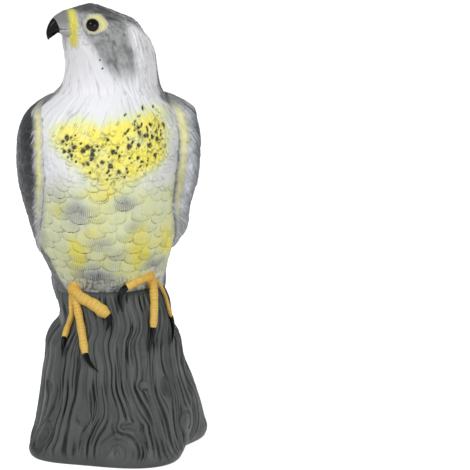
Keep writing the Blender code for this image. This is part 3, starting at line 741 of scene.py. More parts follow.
def build_body():
    columns = [FRONT_COLUMNS, FLANK_COLUMNS, BACK_COLUMNS, FLANK_COLUMNS]
    angles = spaced_angles([-165, -15, 60, 120, 195], columns)
    under = np.linspace(-BODY_UNDER, 0, BODY_ROWS_UNDER)[:-1]
    heights = np.concatenate([under, np.linspace(0, BODY_TOP, BODY_ROWS)])
    rows = rows_at(TORSO, np.maximum(heights, 0))
    rows[:, 0] = heights
    points = form_points(rows, angles, BIRD_AXIS, PERCH)
    coat = Coat(points)
    for row in FEATHER_ROWS:
        feather_rows(coat, *row)
    x, y, z = points[..., 0], points[..., 1], points[..., 2] - PERCH
    front = ease(-y, -12, 18)
    pits = cut_pits(coat)
    relief = coat.relief - PIT_DEPTH * pits - 0.35
    relief += 0.10 * wander(coat.flat * (1, 1, 0.5), 1.8, 3) + 0.7 * wander(coat.flat, 30, 5)
    relief = coat.grid(relief)
    # Combed strokes on the upper breast, with a groove here and there that is darkened as painted
    # shade
    around = angles * COMBED_RADIUS + 0.12 * z * np.sign(x)
    combed = hair(around, z, 2.6, 18, 41)
    fine = hair(around, z, 1.4, 9, 43)
    lines = hump(combed, 0.16) * ease(hair(around, z, 5, 12, 42), -0.3, 0.4) * ease(z, 144, 156)
    relief = relief + ease(z, *COMBED_FROM) * (0.5 * combed + 0.25 * fine + 0.35) - 0.35 * lines
    # The wavy fringe over the stump
    fringe = (1 - ease(z, -BODY_UNDER, 5)) * front
    relief = relief + fringe * 1.2 * wander(points * (1, 1, 0.15), 3.5, 6)
    relief = relief - DIVE * ease(z, *BODY_DIVE)
    skin = coat.raised(relief.ravel())
    level = points * (1, 1, 0)
    skin[..., 2] += fringe * (2.2 * wander(level, 6, 7) + 1.6 * wander(level, 2.4, 8) - 1.0)

    # Sprayed yellow and grey
    ragged = wander(points * (1, 1, 0.4), 5, 9)
    soft = wander(points, 16, 12)
    top, low = (np.interp(x, BAND_PLACES, edge) for edge in (BAND_TOP, BAND_LOW))
    band = ease(z + 3 * ragged, low - 16, low + 7)
    band = band * (1 - ease(z + 3 * ragged + 0.8 * soft, top - 13, top + 4))
    band = band * (1 - ease(np.abs(x + 1) + 3 * ragged, 43, 58)) * front
    belly = (1 - ease(z + 0.35 * np.abs(x), 92, 136)) * front
    moved = x + 3 * soft, z + 4 * wander(points, 11, 15)
    yellow = belly * np.clip(0.56 + 0.14 * soft + spots(YELLOW_SPOTS, *moved), 0, 1)
    yellow = np.maximum(yellow * (0.35 + 0.65 * ease(z, 2, 22)), band * (0.95 + 0.2 * soft))
    grey = belly * np.clip(spots(GREY_SPOTS, *moved) + 0.06 * ease(ragged, 0, 0.6), 0, 1)
    grey = np.maximum(grey, (1 - ease(z + 4 * ragged, 0, 10)) * 0.4)
    sides = ease(np.abs(x + 2) + 3 * soft, 50, 62) * ease(z, 20, 60) * (1 - ease(z, 120, 150))
    grey = np.maximum(grey, sides * 0.5)
    grey = np.maximum(grey, ease(x + 3 * ragged, 40, 56) * ease(z, 146, 162) * 0.55)
    back = np.maximum((1 - front) * (1 - ease(z, 150, 160)), mantle_mask(points, 3 * combed))
    grey = np.maximum(grey, back)
    yellow = yellow * (1 - 0.75 * grey)

    # Painted shade in the seams, barbs, grooves, cuts and pits, and dark paint in wisps and over
    # flank and back
    seam = 1.5 * coat.grid(coat.seam) * (0.40 + 0.60 * ease(wander(points, 8, 44), -0.25, 0.35))
    barbed = 0.20 + 0.75 * grey + 0.25 * (coat.grid(coat.shade) > 0.8)
    shade_and_dark = np.maximum(seam, coat.grid(coat.barb) * barbed)
    shade_and_dark = shade_and_dark * (0.30 + 0.70 * (1 - ease(z, 84, 112)) + 0.25 * band)
    wisps = hump(hair(around, z, 1.5, 7, 47), 0.2) * (1 - ease(z, 8, 24)) * front
    shade_and_dark = np.maximum(shade_and_dark, 0.7 * wisps)
    # Leaning dark lines over the band: painted shade of cuts that are not in the relief
    leaning = hair(0.88 * x - 0.48 * z, 0.48 * x + 0.88 * z, 1.5, 6, 49)
    cut_shade = hump(leaning, 0.15) * ease(wander(points, 4, 50), 0.0, 0.5) * band
    shade_and_dark = np.maximum.reduce([shade_and_dark, coat.grid(pits), lines * 0.36, 0.7 * cut_shade])
    edge = np.interp(z, FLANK_HEIGHTS, FLANK_EDGE)
    flank = ease(edge - x + 2.5 * ragged, -2, 3) * (1 - ease(z, 44, 60))
    shade_and_dark = np.maximum.reduce([shade_and_dark, 0.66 * flank, back * (0.56 + 0.4 * coat.grid(coat.seam))])
    grey = np.maximum(grey, flank)
    # Two rows turn in under the body
    turned_in = skin[0] * (0.86, 0.86, 1) + (0, 0, 1.5)
    further_in = skin[0] * (0.6, 0.6, 1) + (0, 0, 3.0)
    grid = np.concatenate([np.stack([further_in, turned_in]), skin])
    pad = ((2, 0), (0, 0))
    paint = coat_of(grid, np.pad(yellow, pad), np.pad(grey, pad, "edge"), np.pad(shade_and_dark, pad))
    return lay_skin("body_feathers", grid, paint, close_ends=False)


def feather_paint(name, ground, sprayed, shadow, shade_and_dark_colour, gloss=0.5, thin=None):
    """Sprayed paint on moulded feathers: a ground coat, two sprayed colours, and a dark colour for
    painted shade in the cuts and for dark paint.

    Where the first sprayed colour lies thin, it has the tint given as thin.
    """
    material, tree, shader, place = start_material(name)
    weights = read_weights(tree)
    speck = grain(tree, place, 650.0, 4.0, 0.7)
    soft = grain(tree, place, 120.0, 3.0)
    uneven = reckon(tree, "MULTIPLY", reckon(tree, "SUBTRACT", soft, 0.5), 0.9)
    first, second = (
        reckon(tree, "ADD", weights[key], reckon(tree, "MULTIPLY", uneven, weights[key]))
        for key in ("Red", "Green")
    )
    fleck = spread(tree, speck, 0.35, 0.62)
    # The dark colour's weight: painted shade in seams, grooves and pits, and dark paint, speckled
    shade_and_dark = reckon(tree, "MULTIPLY", weights["Blue"], spread(tree, fleck, -1.2, 0.6))
    low = tuple(c * 0.93 for c in ground[:3]) + (1.0,)
    colour = blend_in(tree, soft, low, ground)
    if thin:
        sprayed = blend_in(tree, spread(tree, first, 0.5, 0.9), thin, sprayed)
    colour = blend_in(tree, spread(tree, first, 0.0, 1.0), colour, sprayed)
    colour = blend_in(tree, spread(tree, second, 0.0, 1.0), colour, shadow)
    colour = blend_in(tree, spread(tree, shade_and_dark, 0.05, 0.95), colour, shade_and_dark_colour)
    tree.links.new(colour, shader.inputs["Base Color"])
    rough = spread(tree, soft, 0.5 - 1.5 * gloss, 1.6 - 0.6 * gloss)
    tree.links.new(rough, shader.inputs["Roughness"])
    roughen(tree, shader, grain(tree, place, 1100.0, 3.0), 0.18, 0.5 * MM)
    shader.inputs["Specular IOR Level"].default_value = 0.3
    return material


breast_paint = feather_paint(
    "breast_paint", tone(240, 241, 244), tone(250, 240, 108), tone(156, 161, 164),
    tone(44, 46, 47), thin=tone(232, 240, 112),
)
body = build_body()
body.data.materials.append(breast_paint)
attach(body, "decoy")
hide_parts("bird_shell")


# The head and neck: one with the body's moulding, covered in fine hair-like strokes that
# fan out from the forehead, with small scales down the nape.  Crown, cheeks and nape are
# sprayed grey, and yellow is brushed round the eyes and across the root of the beak.
HEAD_TURN = math.radians(-62)
HEAD_FORWARD = np.array([math.cos(HEAD_TURN - math.pi / 2), math.sin(HEAD_TURN - math.pi / 2), 0.0])
HEAD_LEFT = np.array([-HEAD_FORWARD[1], HEAD_FORWARD[0], 0.0])
HEAD_COLUMNS = 540
HEAD_ROWS = 166
NAPE_SCALES = 900
EYE_LEFT = box_middle("eye_left") / MM
SOCKET = 7.2
# The strokes fan out from this far ahead of the head's middle and above it, and are as
# wide there as on a ball of this radius.
FAN_AHEAD = 20
FAN_ABOVE = 12
FAN_RADIUS = 22
# The grey's edges in a side view of the head, where q runs back from the eyes: the
# crown's lower edge and the cheek's at places q, and the cheek's back edge as q at
# distances below the eyes.
CROWN_PLACES = (-26, -20, -8, 3, 12, 23, 32, 43)
CROWN_LOW = (11, 10, 9, 4, 2, 1.7, -1.7, -13)
CHEEK_PLACES = (-26, -18, -13, -3, 4, 16, 31)
CHEEK_LOW = (-2, -5, -11, -27, -41, -49, -50)
CHEEK_DROPS = (-5, 10, 18, 26, 47)
CHEEK_BACK = (24, 24, 26.6, 30.6, 31.4)
# Two pin holes on the neck, as q and the distance below the eyes.
PIN_HOLES = ((0.7, 30.1), (2.8, 37.7))
HEAD_MIDDLE = np.append(rows_at(TORSO, [EYE_LEFT.z - PERCH])[0, 1:3] + BIRD_AXIS, EYE_LEFT.z)
BEAK_ROOT = HEAD_MIDDLE + HEAD_FORWARD * 24 - (0, 0, 2)


def head_place(points):
    """Position in the head: ahead, to its outer side, and up from the eyes' height."""
    off = points - HEAD_MIDDLE
    return off @ HEAD_FORWARD, np.abs(off @ HEAD_LEFT), off[..., 2]


def cere_mask(ahead, outer, above):
    """The brushed yellow band at the root of the beak and down to the chin."""
    middle = 29.3 + 0.03 * above + 0.35 * (outer - 9)
    band = np.exp(-(np.abs(ahead - middle) / 3.9) ** 3)
    return band * ease(above, -22, -17) * ease(13.5 - above, 0, 3)


def build_head():
    angles = np.linspace(-math.pi, math.pi, HEAD_COLUMNS + 1)
    fine = smooth_rows(TORSO, 900)
    fine = fine[fine[:, 0] >= HEAD_DIVE[0]]
    rows = fine[np.linspace(0, len(fine) - 1, HEAD_ROWS).astype(int)]
    points = form_points(rows, angles, BIRD_AXIS, PERCH)
    coat = Coat(points)
    ahead, outer, above = head_place(coat.flat)
    height = coat.flat[:, 2] - PERCH
    # Brow, eye sockets, cheek and the crown's highest part
    brow = hump(above - 8.5 - 0.05 * (ahead - 18), 2.6) * ease(ahead, 2, 10)
    brow = brow * (1 - ease(ahead, 25, 29))
    form = 1.5 * brow * ease(outer, 6, 12)
    ahead_of_eye = (EYE_LEFT - Vector(HEAD_MIDDLE)).dot(Vector(HEAD_FORWARD))
    eye_reach = np.hypot(ahead - ahead_of_eye, above)
    eye_reach = np.where(outer > 8, eye_reach, 99)
    form += 0.9 * hump(eye_reach - 7.4, 1.5) - 1.6 * (1 - ease(eye_reach, 4.5, 7))
    cheek = np.exp(-(((ahead - 2) / 17) ** 2 + ((above + 17) / 15) ** 2))
    form += 1.3 * cheek * ease(outer, 8, 18)
    form += 1.1 * hump(ahead - 1, 8) * ease(above, 8, 16)
    form -= DIVE * (1 - ease(height, *HEAD_DIVE))

    # Scales down the nape
    scaled = np.flatnonzero((ahead < -22) & (coat.flat[:, 2] < PERCH + 246))
    picks = dice.permutation(scaled)[:NAPE_SCALES]
    for home in picks[np.argsort(coat.flat[picks, 2])]:
        aim = unit(DOWN - 0.3 * HEAD_FORWARD + 0.16 * dice.normal(size=3))
        width = 4.4 * (0.8 + 0.4 * dice.random())
        coat.feather(coat.flat[home], aim, width, 6.5, 0.9, rim=0.8)
    # Hair-like strokes that fan out from the forehead and then run down the neck
    off = coat.flat - HEAD_MIDDLE - HEAD_FORWARD * FAN_AHEAD - (0, 0, FAN_ABOVE)
    reach = np.linalg.norm(off, axis=-1)
    rays = FAN_RADIUS * off / reach[:, None]
    settled = ease(reach, 6, 20)
    neck = coat.flat - (BIRD_AXIS[0], BIRD_AXIS[1] - 22, 0)
    beside = np.arctan2(neck[:, 0], -neck[:, 1]) * 40
    fall = np.maximum(ease(BEAK_ROOT[2] - 34 - coat.flat[:, 2], 0, 22), ease(-ahead, 10, 24))

    def strokes(wide, long, seed):
        fan = wander(rays + HEAD_LEFT * (reach * wide / long)[:, None], wide, seed)
        down = hair(beside + 0.25 * neck[:, 2], neck[:, 2], wide, long, seed + 1)
        return fan * (1 - fall) + down * fall

    combed = strokes(1.6, 17, 51) * settled
    fine_hair = strokes(1.1, 10, 53) * settled
    lines = hump(combed, 0.18) * ease(strokes(4.0, 14, 55), -0.6, 0.2) * settled
    carved = 0.35 * combed + 0.28 * fine_hair - 0.3 * lines
    relief = coat.relief - 0.2 + form + ease(eye_reach, 7, 9) * carved
    relief[eye_reach < SOCKET] = form[eye_reach < SOCKET]
    skin = coat.raised(relief)

    # Sprayed grey: crown, cheek, nape, mantle and the space before the eye
    q = -0.883 * ahead + 0.469 * outer
    tatter = 1.2 * wander(coat.flat, 6, 21) + 3.5 * combed
    crown = ease(above + 0.6 * tatter - np.interp(q, CROWN_PLACES, CROWN_LOW), -3.5, 3.5)
    cheek = ease(above + 0.7 * tatter - np.interp(q, CHEEK_PLACES, CHEEK_LOW), -4, 13)
    cheek_back = np.interp(-above, CHEEK_DROPS, CHEEK_BACK)
    cheek = cheek * (1 - ease(q + tatter * 0.6 - cheek_back, -2.5, 3.5)) * ease(outer, 4, 11)
    left = (coat.flat - HEAD_MIDDLE) @ HEAD_LEFT
    nape_side = np.where(left > 0, 12.0, 24.0)
    nape = ease(-ahead + 0.8 * tatter, 35, 42) * ease(nape_side - outer + tatter, -3, 5)
    shoulder = 0.5 * ease(coat.flat[:, 0] + tatter, 40, 54) * (1 - ease(height, 176, 190))
    mantle = np.maximum(mantle_mask(coat.flat, tatter), shoulder)
    lores = 0.48 * ease(above + 9, -6, 6) * ease(ahead, 17, 22) * ease(outer, 4, 8)
    grey = np.clip(np.maximum.reduce([crown, cheek * 0.78, nape, mantle * 0.8, lores]), 0, 1)
    # Brushed yellow: the ring round the eye, wider behind it, and the band at the beak,
    # which is shorter on the far side
    behind = (ahead_of_eye - ahead) / np.maximum(eye_reach, 0.1)
    over = above / np.maximum(eye_reach, 0.1)
    ring_edge = 6.9 + 5.2 * ease(behind, 0, 1) * ease(over, -0.9, 0.1) + 0.4 * ease(over, 0, 1)
    ring = ease(ring_edge - eye_reach + 0.1 * tatter, -1.4, 2.0) * ease(outer, 7, 10)
    far = (left < 0) * (1 - ease(above, -8, -3))
    cere = cere_mask(ahead, outer, above) * (1 - far)
    yellow = np.maximum(cere, 0.66 * ring)
    grey = grey * (1 - np.maximum(cere, ring))
    pale_hairs = hump(fine_hair - 0.1, 0.14) * ease(strokes(3.0, 9, 57), -0.2, 0.4) * settled
    paler = (0.2 - 0.14 * crown) * pale_hairs * grey
    grey = np.clip(grey + 0.1 * fine_hair * ease(grey, 0.05, 0.4) - paler, 0, 1)
    # Painted shade in the nape scales' seams and the strokes' grooves, dark paint over the crown,
    # and painted shade in the two pin holes
    shade_and_dark = np.maximum(coat.seam * 0.6 * nape, lines * (0.34 + 0.15 * grey) * (1 - yellow * 0.8))
    shade_and_dark = np.maximum(shade_and_dark, 0.68 * crown * (1 - yellow) * (1 + 0.3 * fine_hair))
    for place, drop in PIN_HOLES:
        hole = np.hypot(q - place, above + drop) + np.where(outer > 6, 0, 9)
        shade_and_dark = np.maximum(shade_and_dark, 1.6 * (1 - ease(hole, 0.4, 1.1)))
    weights = [coat.grid(w) for w in (yellow, grey, shade_and_dark)]
    return lay_skin("head_feathers", skin, coat_of(skin, *weights), close_ends=False)


head = build_head()
bm = bmesh.new()
bm.from_mesh(head.data)
top_rim = [e for e in bm.edges if e.is_boundary and e.verts[0].co.z > (PERCH + 200) * MM]
bmesh.ops.holes_fill(bm, edges=top_rim, sides=0)
bm.to_mesh(head.data)
bm.free()
head.data.shade_smooth()
head_paint = feather_paint(
    "head_paint", tone(239, 239, 243), tone(220, 213, 92), tone(106, 108, 106), tone(40, 41, 42),
)
head.data.materials.append(head_paint)
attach(head, "decoy")


# The beak: a grey base that is part of the head's moulding, with the gape scored along
# it, and a black painted hook.  Yellow is brushed across the root of the beak.
BEAK_SHARE = 0.50
# Stations of the beak: how far ahead of the head's middle and above it, half height, half
# width, and how far it has turned down, in degrees.  Its base has the share above of them.
BEAK = [
    (24, 0.7, 11.6, 10.5, 0),
    (30, 0.4, 11.4, 9.4, 2),
    (36, 0.4, 9.8, 7.6, 8),
    (41.6, -0.7, 6.9, 5.6, 20),
    (45.8, -3.8, 4.4, 3.6, 38),
    (48.3, -7.8, 2.6, 2.0, 55),
    (48.8, -12.5, 0.5, 0.5, 80),
]


def beak_skin(first, last, count, columns):
    """The beak's surface between two shares of its stations."""
    at = np.linspace(first, last, count)
    fine = np.array(BEAK, float)
    slopes = np.gradient(fine, axis=0)
    i = np.clip((at * (len(BEAK) - 1)).astype(int), 0, len(BEAK) - 2)
    t = (at * (len(BEAK) - 1) - i)[:, None]
    rows = (2 * t**3 - 3 * t**2 + 1) * fine[i] + (t**3 - 2 * t**2 + t) * slopes[i]
    rows += (3 * t**2 - 2 * t**3) * fine[i + 1] + (t**3 - t**2) * slopes[i + 1]
    reach, rise, tall, wide, tilt = (rows[:, None, k, None] for k in range(5))
    turn = np.linspace(-math.pi, math.pi, columns + 1)[None, :, None]
    lean = np.radians(tilt)
    up = np.array([0, 0, 1.0]) * np.cos(lean) + HEAD_FORWARD * np.sin(lean)
    centre = HEAD_MIDDLE + HEAD_FORWARD * reach + np.array([0, 0, 1.0]) * rise
    ridge = 1 - 0.10 * np.cos(turn * 2) ** 2 * (np.sin(turn) > 0)
    return centre + HEAD_LEFT * wide * np.cos(turn) * ridge + up * tall * np.sin(turn)


def build_beak_base():
    skin = beak_skin(0.02, BEAK_SHARE, 70, 150)
    ahead, outer, above = head_place(skin)
    gape = hump(above + 4.2 + 0.06 * (ahead - 34), 0.7) * ease(ahead, 28, 31)
    nostril = np.exp(-(((ahead - 32.5) / 1.3) ** 2 + (above - 2.6) ** 2)) * (outer > 3)
    cere_step = 0.55 * (1 - ease(ahead, 33.6, 35.2))
    relief = cere_step - 0.6 * gape - 0.5 * nostril + 0.08 * wander(skin, 2.5, 3)
    skin = skin + normals_of(skin) * relief[..., None]
    yellow = cere_mask(ahead, outer, above)
    pale = np.clip(gape * 0.6 + 0.7 * ease(-above, -5, 6) * ease(ahead, 26, 32), 0, 1)
    # The nostril's dimple is darkened as painted shade
    return lay_skin("beak_base", skin, coat_of(skin, yellow, pale * (1 - yellow), nostril * 0.25))


def glossy_paint(name, colour, roughness, scale=300.0, shine=0.4):
    """An even paint or plastic with a slightly uneven gloss."""
    material, tree, shader, place = start_material(name)
    soft = grain(tree, place, scale)
    light = tuple(min(1, c * 1.25 + 0.002) for c in colour[:3]) + (1.0,)
    tree.links.new(blend_in(tree, soft, colour, light), shader.inputs["Base Color"])
    rough = add(tree, "ShaderNodeMapRange", {
        "Value": soft, "To Min": roughness * 0.8, "To Max": roughness * 1.25,
    })
    tree.links.new(rough.outputs["Result"], shader.inputs["Roughness"])
    shader.inputs["Specular IOR Level"].default_value = shine
    return material


beak_base = build_beak_base()
beak_base.data.materials.append(feather_paint(
    "beak_paint", tone(130, 130, 128), tone(220, 213, 92), tone(190, 190, 192),
    tone(50, 51, 52), 0.6,
))
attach(beak_base, "decoy")

skin = beak_skin(BEAK_SHARE, 1.0, 60, 64)
hook = lay_skin("beak_hook_paint", skin, coat_of(skin))
black_paint = glossy_paint("black_paint", tone(8, 8, 10), 0.3, shine=0.14)
hook.data.materials.append(black_paint)
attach(hook, "decoy")
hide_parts("beak_hook")


# The eyes: glossy black domes pressed into sockets in the moulding.  Each is a whole ball
# here, and its inner half lies inside the head.
EYE_RADIUS = (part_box("eye_left")[1].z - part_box("eye_left")[0].z) / 2
eye_black = glossy_paint("eye_black", tone(9, 8, 10), 0.07, shine=0.16)
for side in ("left", "right"):
    bm = bmesh.new()
    bmesh.ops.create_uvsphere(bm, u_segments=64, v_segments=40, radius=EYE_RADIUS)
    bmesh.ops.translate(bm, verts=bm.verts, vec=box_middle("eye_" + side))
    mesh = mesh_of(bm, "eyeball_" + side)
    mesh.shade_smooth()
    mesh.materials.append(eye_black)
    eyeball = put_in_scene("eyeball_" + side, mesh)
    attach(eyeball, "decoy")
    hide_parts("eye_" + side)


# The folded wings: lobes of the same moulding on the flanks, with a raised front rim,
# small coverts at the shoulder and long flight feathers that run down to the tips.
# They are sprayed dark, paler in front, with a yellow stripe along the rim.
WING_BED = 3.0
WING_ROWS = 200
WING_COLUMNS = 170
BED_COLUMNS = 10
RIM_WIDTH = 5.0
# Stations of the wings: height above the perch, front edge of the left wing and of the
# right and back edge, as directions, and the thickness of the left wing and of the right.
WING = [
    (174, 4, 4, 30, 4, 3),
    (171, -8, -8, 42, 11, 8),
    (164, -16, -18, 49, 16, 11.5),
    (153, -22, -25, 54, 17.5, 12.5),
    (141, -26, -30, 58, 18.5, 12.5),
    (124, -29, -33, 62, 19, 13.5),
    (98, -30, -35, 67, 19, 15.5),
    (72, -28, -34, 72, 13.5, 11),
    (53, -16, -27, 76, 11.5, 8.5),
    (36, 6, -12, 79, 9.5, 7.5),
    (20, 30, 10, 81, 8, 7.5),
    (9, 50, 40, 81, 6, 6),
    (3, 64, 62, 77, 3, 3),
]
# How far round, in degrees, the right wing's thin front edge lies over the breast.
FRONT_LAP = 15.0
# The right wing is this much thinner at heights above the perch, and the left one thicker
# at its shoulder.
THIN_HEIGHTS = (30, 50, 60, 80, 110, 150)
THIN = (0.58, 0.62, 0.74, 0.92, 0.91, 0.86)
SHOULDER = 164
SHOULDER_SHARE = 0.22
# Tiers of feathers: up to this height, width, length, lift, shaft, lean from the vertical
# in degrees, and the distance between their rows.
WING_TIERS = [
    (60, 8.5, 58, 1.1, 0.30, 10, 15.0),
    (104, 12.0, 30, 1.2, 0.25, 30, 12.0),
    (140, 11.0, 16, 1.1, 0.12, 34, 9.5),
    (158, 8.5, 10, 0.9, 0.0, 30, 7.0),
    (176, 6.5, 8, 0.7, 0.0, 20, 5.5),
]


def wing_grid(side):
    """A wing's outside from front to back, and then its bed inside the body."""
    rows = smooth_rows(WING, WING_ROWS)
    level = rows[:, :1]
    front, most = (rows[:, 1:2], rows[:, 4:5]) if side > 0 else (rows[:, 2:3], rows[:, 5:6])
    at = np.linspace(0, 1, WING_COLUMNS)
    share = 0.6 * at + 0.4 * (1 - np.cos(math.pi * at)) / 2
    if side < 0:
        most = most * np.interp(level, THIN_HEIGHTS, THIN)
        front = front - FRONT_LAP * ease(level, 40, 125) * (1 - ease(level, 155, 170))
    else:
        most = most * (1 + SHOULDER_SHARE * hump(level - SHOULDER, 9.0))
    down = np.concatenate([0 * level, 0 * level + side, level], axis=1)
    tatter = 1.3 * wander(down, 6, 66) + 0.9 * wander(down, 1.8, 67)
    front = front + tatter[:, None] * ease(level, 20, 50)
    rise = 1 - np.exp(-share / (0.055 if side > 0 else 0.12))
    fall = 1.18 - 0.60 * share - 0.20 * hump(share - 0.33, 0.16)
    end = np.minimum(1, (1 - share) / 0.05) ** 0.5
    thick = most * (0.10 + 0.86 * rise * fall * end)
    bed = np.linspace(1, 0, BED_COLUMNS)
    share = np.concatenate([share, bed, share[:1]])
    thick = np.concatenate([thick, 0 * level + 0 * bed - WING_BED, thick[:, :1]], axis=1)
    angle = np.radians(front + (rows[:, 3:4] - front) * share)
    if side < 0:
        angle = math.pi - angle
    return form_points(rows_at(TORSO, rows[:, 0]), angle, BIRD_AXIS, PERCH, thick)


def build_wing(name, side):
    points = wing_grid(side)
    coat = Coat(points)
    steps = np.linalg.norm(np.diff(points[:, :WING_COLUMNS], axis=1), axis=-1)
    across = np.pad(np.cumsum(steps, axis=1), ((0, 0), (1, 0)))
    height = points[:, 0, 2] - PERCH
    # Distance from the front edge.  The bed is far from it, but for its last columns.
    rim = np.pad(across, ((0, 0), (0, BED_COLUMNS + 1)), constant_values=99.0)
    rim[:, -3:] = 0.0
    plan = []
    low = 0.0
    for top, width, length, lift, shaft, lean, step in WING_TIERS:
        level = low
        while level < top:
            row = int(np.abs(height - level).argmin())
            start = RIM_WIDTH + (width / 2 if int(level / step) % 2 else 1.0)
            for place in np.arange(start, across[row, -1], width * 0.9):
                column = int(np.abs(across[row] - place).argmin())
                below = points[min(row + 1, WING_ROWS - 1), column]
                behind = points[row, min(column + 1, WING_COLUMNS - 1)]
                down = unit(below - points[row - 1, column])
                back = unit(behind - points[row, column - 1])
                lean_now = math.radians(lean + 4 * dice.normal())
                aim = unit(down * math.cos(lean_now) + back * math.sin(lean_now))
                spot = points[row, column] + aim * step * 0.25 * dice.normal()
                size = 1 + 0.08 * dice.normal()
                plan.append((spot, aim, width * size, length * size, lift, shaft))
            level += step
        low = top
    for spot, aim, width, length, lift, shaft in sorted(plan, key=lambda f: f[0][2]):
        coat.feather(spot, aim, width, length, lift, 0.14, 1.6, 0.9, shaft)
    relief = coat.grid(coat.relief) - 0.5
    edge_of_rim = ease(rim, RIM_WIDTH - 0.6, RIM_WIDTH + 0.8)
    slant = np.minimum(rim, 60)
    combed = hair(points[..., 2] + 1.3 * slant, slant, 1.7, 9, 61)
    relief = relief * edge_of_rim + (1 - edge_of_rim) * (0.1 + 0.35 * combed)
    if side > 0:
        relief += 0.9 * hump(rim - 1.4 - 0.3 * combed, 1.1)
    relief += 0.35 * wander(points, 22, 5)
    column = np.arange(points.shape[1])
    outside = ease(column * 1.0, -1, 2) * (column < WING_COLUMNS)
    skin = coat.raised((relief * outside).ravel())

    # Sprayed yellow stripe, pale front and dark paint behind it, with a painted highlight on the
    # feathers' rims and painted shade in their seams and barbs
    above = skin[..., 2] - PERCH
    cloudy = wander(points * (1, 1, 0.6), 14, 31 + side)
    stripe_width = 1.2 + (2.0 if side < 0 else 3.0) * ease(above, 66, 120)
    stripe = hump(rim - 4.0 - 1.2 * combed, stripe_width)
    stripe = stripe * ease(above, 58, 76) * (1 - ease(above, 158, 172))
    reach = 13 if side < 0 else 26
    pale = (1 - ease(rim + 4 * cloudy + 4 * combed, 4, reach)) * (0.75 + 0.25 * ease(above, 40, 90))
    streaks = hair(points[..., 2] + 1.3 * slant, slant, 1.5, 7, 63)
    pale = pale * (0.9 + 0.4 * streaks) * (1 - 0.8 * ease(above, 158, 172))
    pale = pale * (1 - 0.65 * stripe)
    pale = np.maximum(pale, 0.14 * coat.grid(coat.edge))
    shade_and_dark = np.maximum(coat.grid(coat.seam) * 0.5, coat.grid(coat.barb) * 0.18) * edge_of_rim
    dark_side = 0.85 if side < 0 else 0.12 + 0.3 * ease(above, 150, 168)
    shade_and_dark = np.maximum(shade_and_dark, dark_side * ease(rim, 5, reach) * (1 - pale) * (above > 0))
    return lay_skin(name, skin, coat_of(skin, stripe * 0.92, np.clip(pale, 0, 1), shade_and_dark))


wing_paint = feather_paint(
    "wing_paint", tone(84, 87, 91), tone(236, 230, 120), tone(214, 217, 222), tone(26, 28, 31),
)
for name, side in (("wing_left", 1), ("wing_right", -1)):
    wing = build_wing(name + "_feathers", side)
    wing.data.materials.append(wing_paint)
    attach(wing, "decoy")
    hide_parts(name)


# The tail and the crossed wing tips: long feathers of the same moulding that hang down
# the back of the stump and wrap round it.
TAIL_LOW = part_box("tail")[0].z / MM
TAIL_AXIS = (BIRD_AXIS[0], BIRD_AXIS[1] + 60)
TAIL = [
    (0, 0, 10, 20, 12, 6, 2.3, 0),
    (10, 0, 5, 28, 14, 16, 2.3, 0),
    (26, 0, -3, 41, 24, 28, 2.3, 0),
    (44, 0, -12, 49, 32, 40, 2.3, 0),
    (63, 0, -20, 52, 36, 50, 2.3, 0),
    (78, 0, -22, 46, 32, 50, 2.3, 0),
    (90, 0, -22, 30, 20, 36, 2.3, 0),
]
TAIL_COLUMNS = 340
TAIL_ROWS = 130
TAIL_FEATHER = 11.0
# Rows of tail feathers: the height of their tips above the tail's end, and their length.
TAIL_TIERS = ((3, 84), (24, 74), (46, 56), (66, 40))


def build_tail():
    angles = np.linspace(-math.pi, math.pi, TAIL_COLUMNS + 1)
    rows = smooth_rows(TAIL, TAIL_ROWS)
    points = form_points(rows, angles, TAIL_AXIS, TAIL_LOW)
    coat = Coat(points)
    plan = []
    for level, length in TAIL_TIERS:
        row = int(np.abs(rows[:, 0] - level).argmin())
        around = np.linalg.norm(np.diff(points[row], axis=0), axis=-1).sum()
        count = around / (TAIL_FEATHER * 1.1)
        for k in range(int(count) + 1):
            turn = -math.pi + 2 * math.pi * (k + 0.5 * (level % 2)) / count
            column = int(np.abs(angles - turn).argmin())
            down = unit(points[max(row - 6, 0), column] - points[row + 6, column])
            plan.append((points[row, column] + down * 2 * dice.normal(), down, length))
    for spot, aim, length in sorted(plan, key=lambda f: f[0][2]):
        coat.feather(spot, aim, TAIL_FEATHER, length, 1.2, 0.14, 1.6, 0.9, 0.3)
    fade = ease(rows[:, :1], 0, 3) + 0 * angles
    skin = coat.raised(((coat.grid(coat.relief) - 0.6) * fade).ravel())
    # Painted highlight on the feathers' rims, and painted shade in their seams and barbs
    pale = 0.20 * coat.grid(coat.edge)
    shade_and_dark = np.maximum(coat.grid(coat.seam) * 0.8, coat.grid(coat.barb) * 0.25)
    return lay_skin("tail_feathers", skin, coat_of(skin, 0.0, pale, shade_and_dark))


tail = build_tail()
tail.data.materials.append(wing_paint)
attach(tail, "decoy")
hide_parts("tail")


# The feet: part of the moulding, with three toes each that drape over the stump's rim.
# Each toe has a row of scutes across its back and ends in a black painted talon.
TOES = ("inner", "middle", "outer")
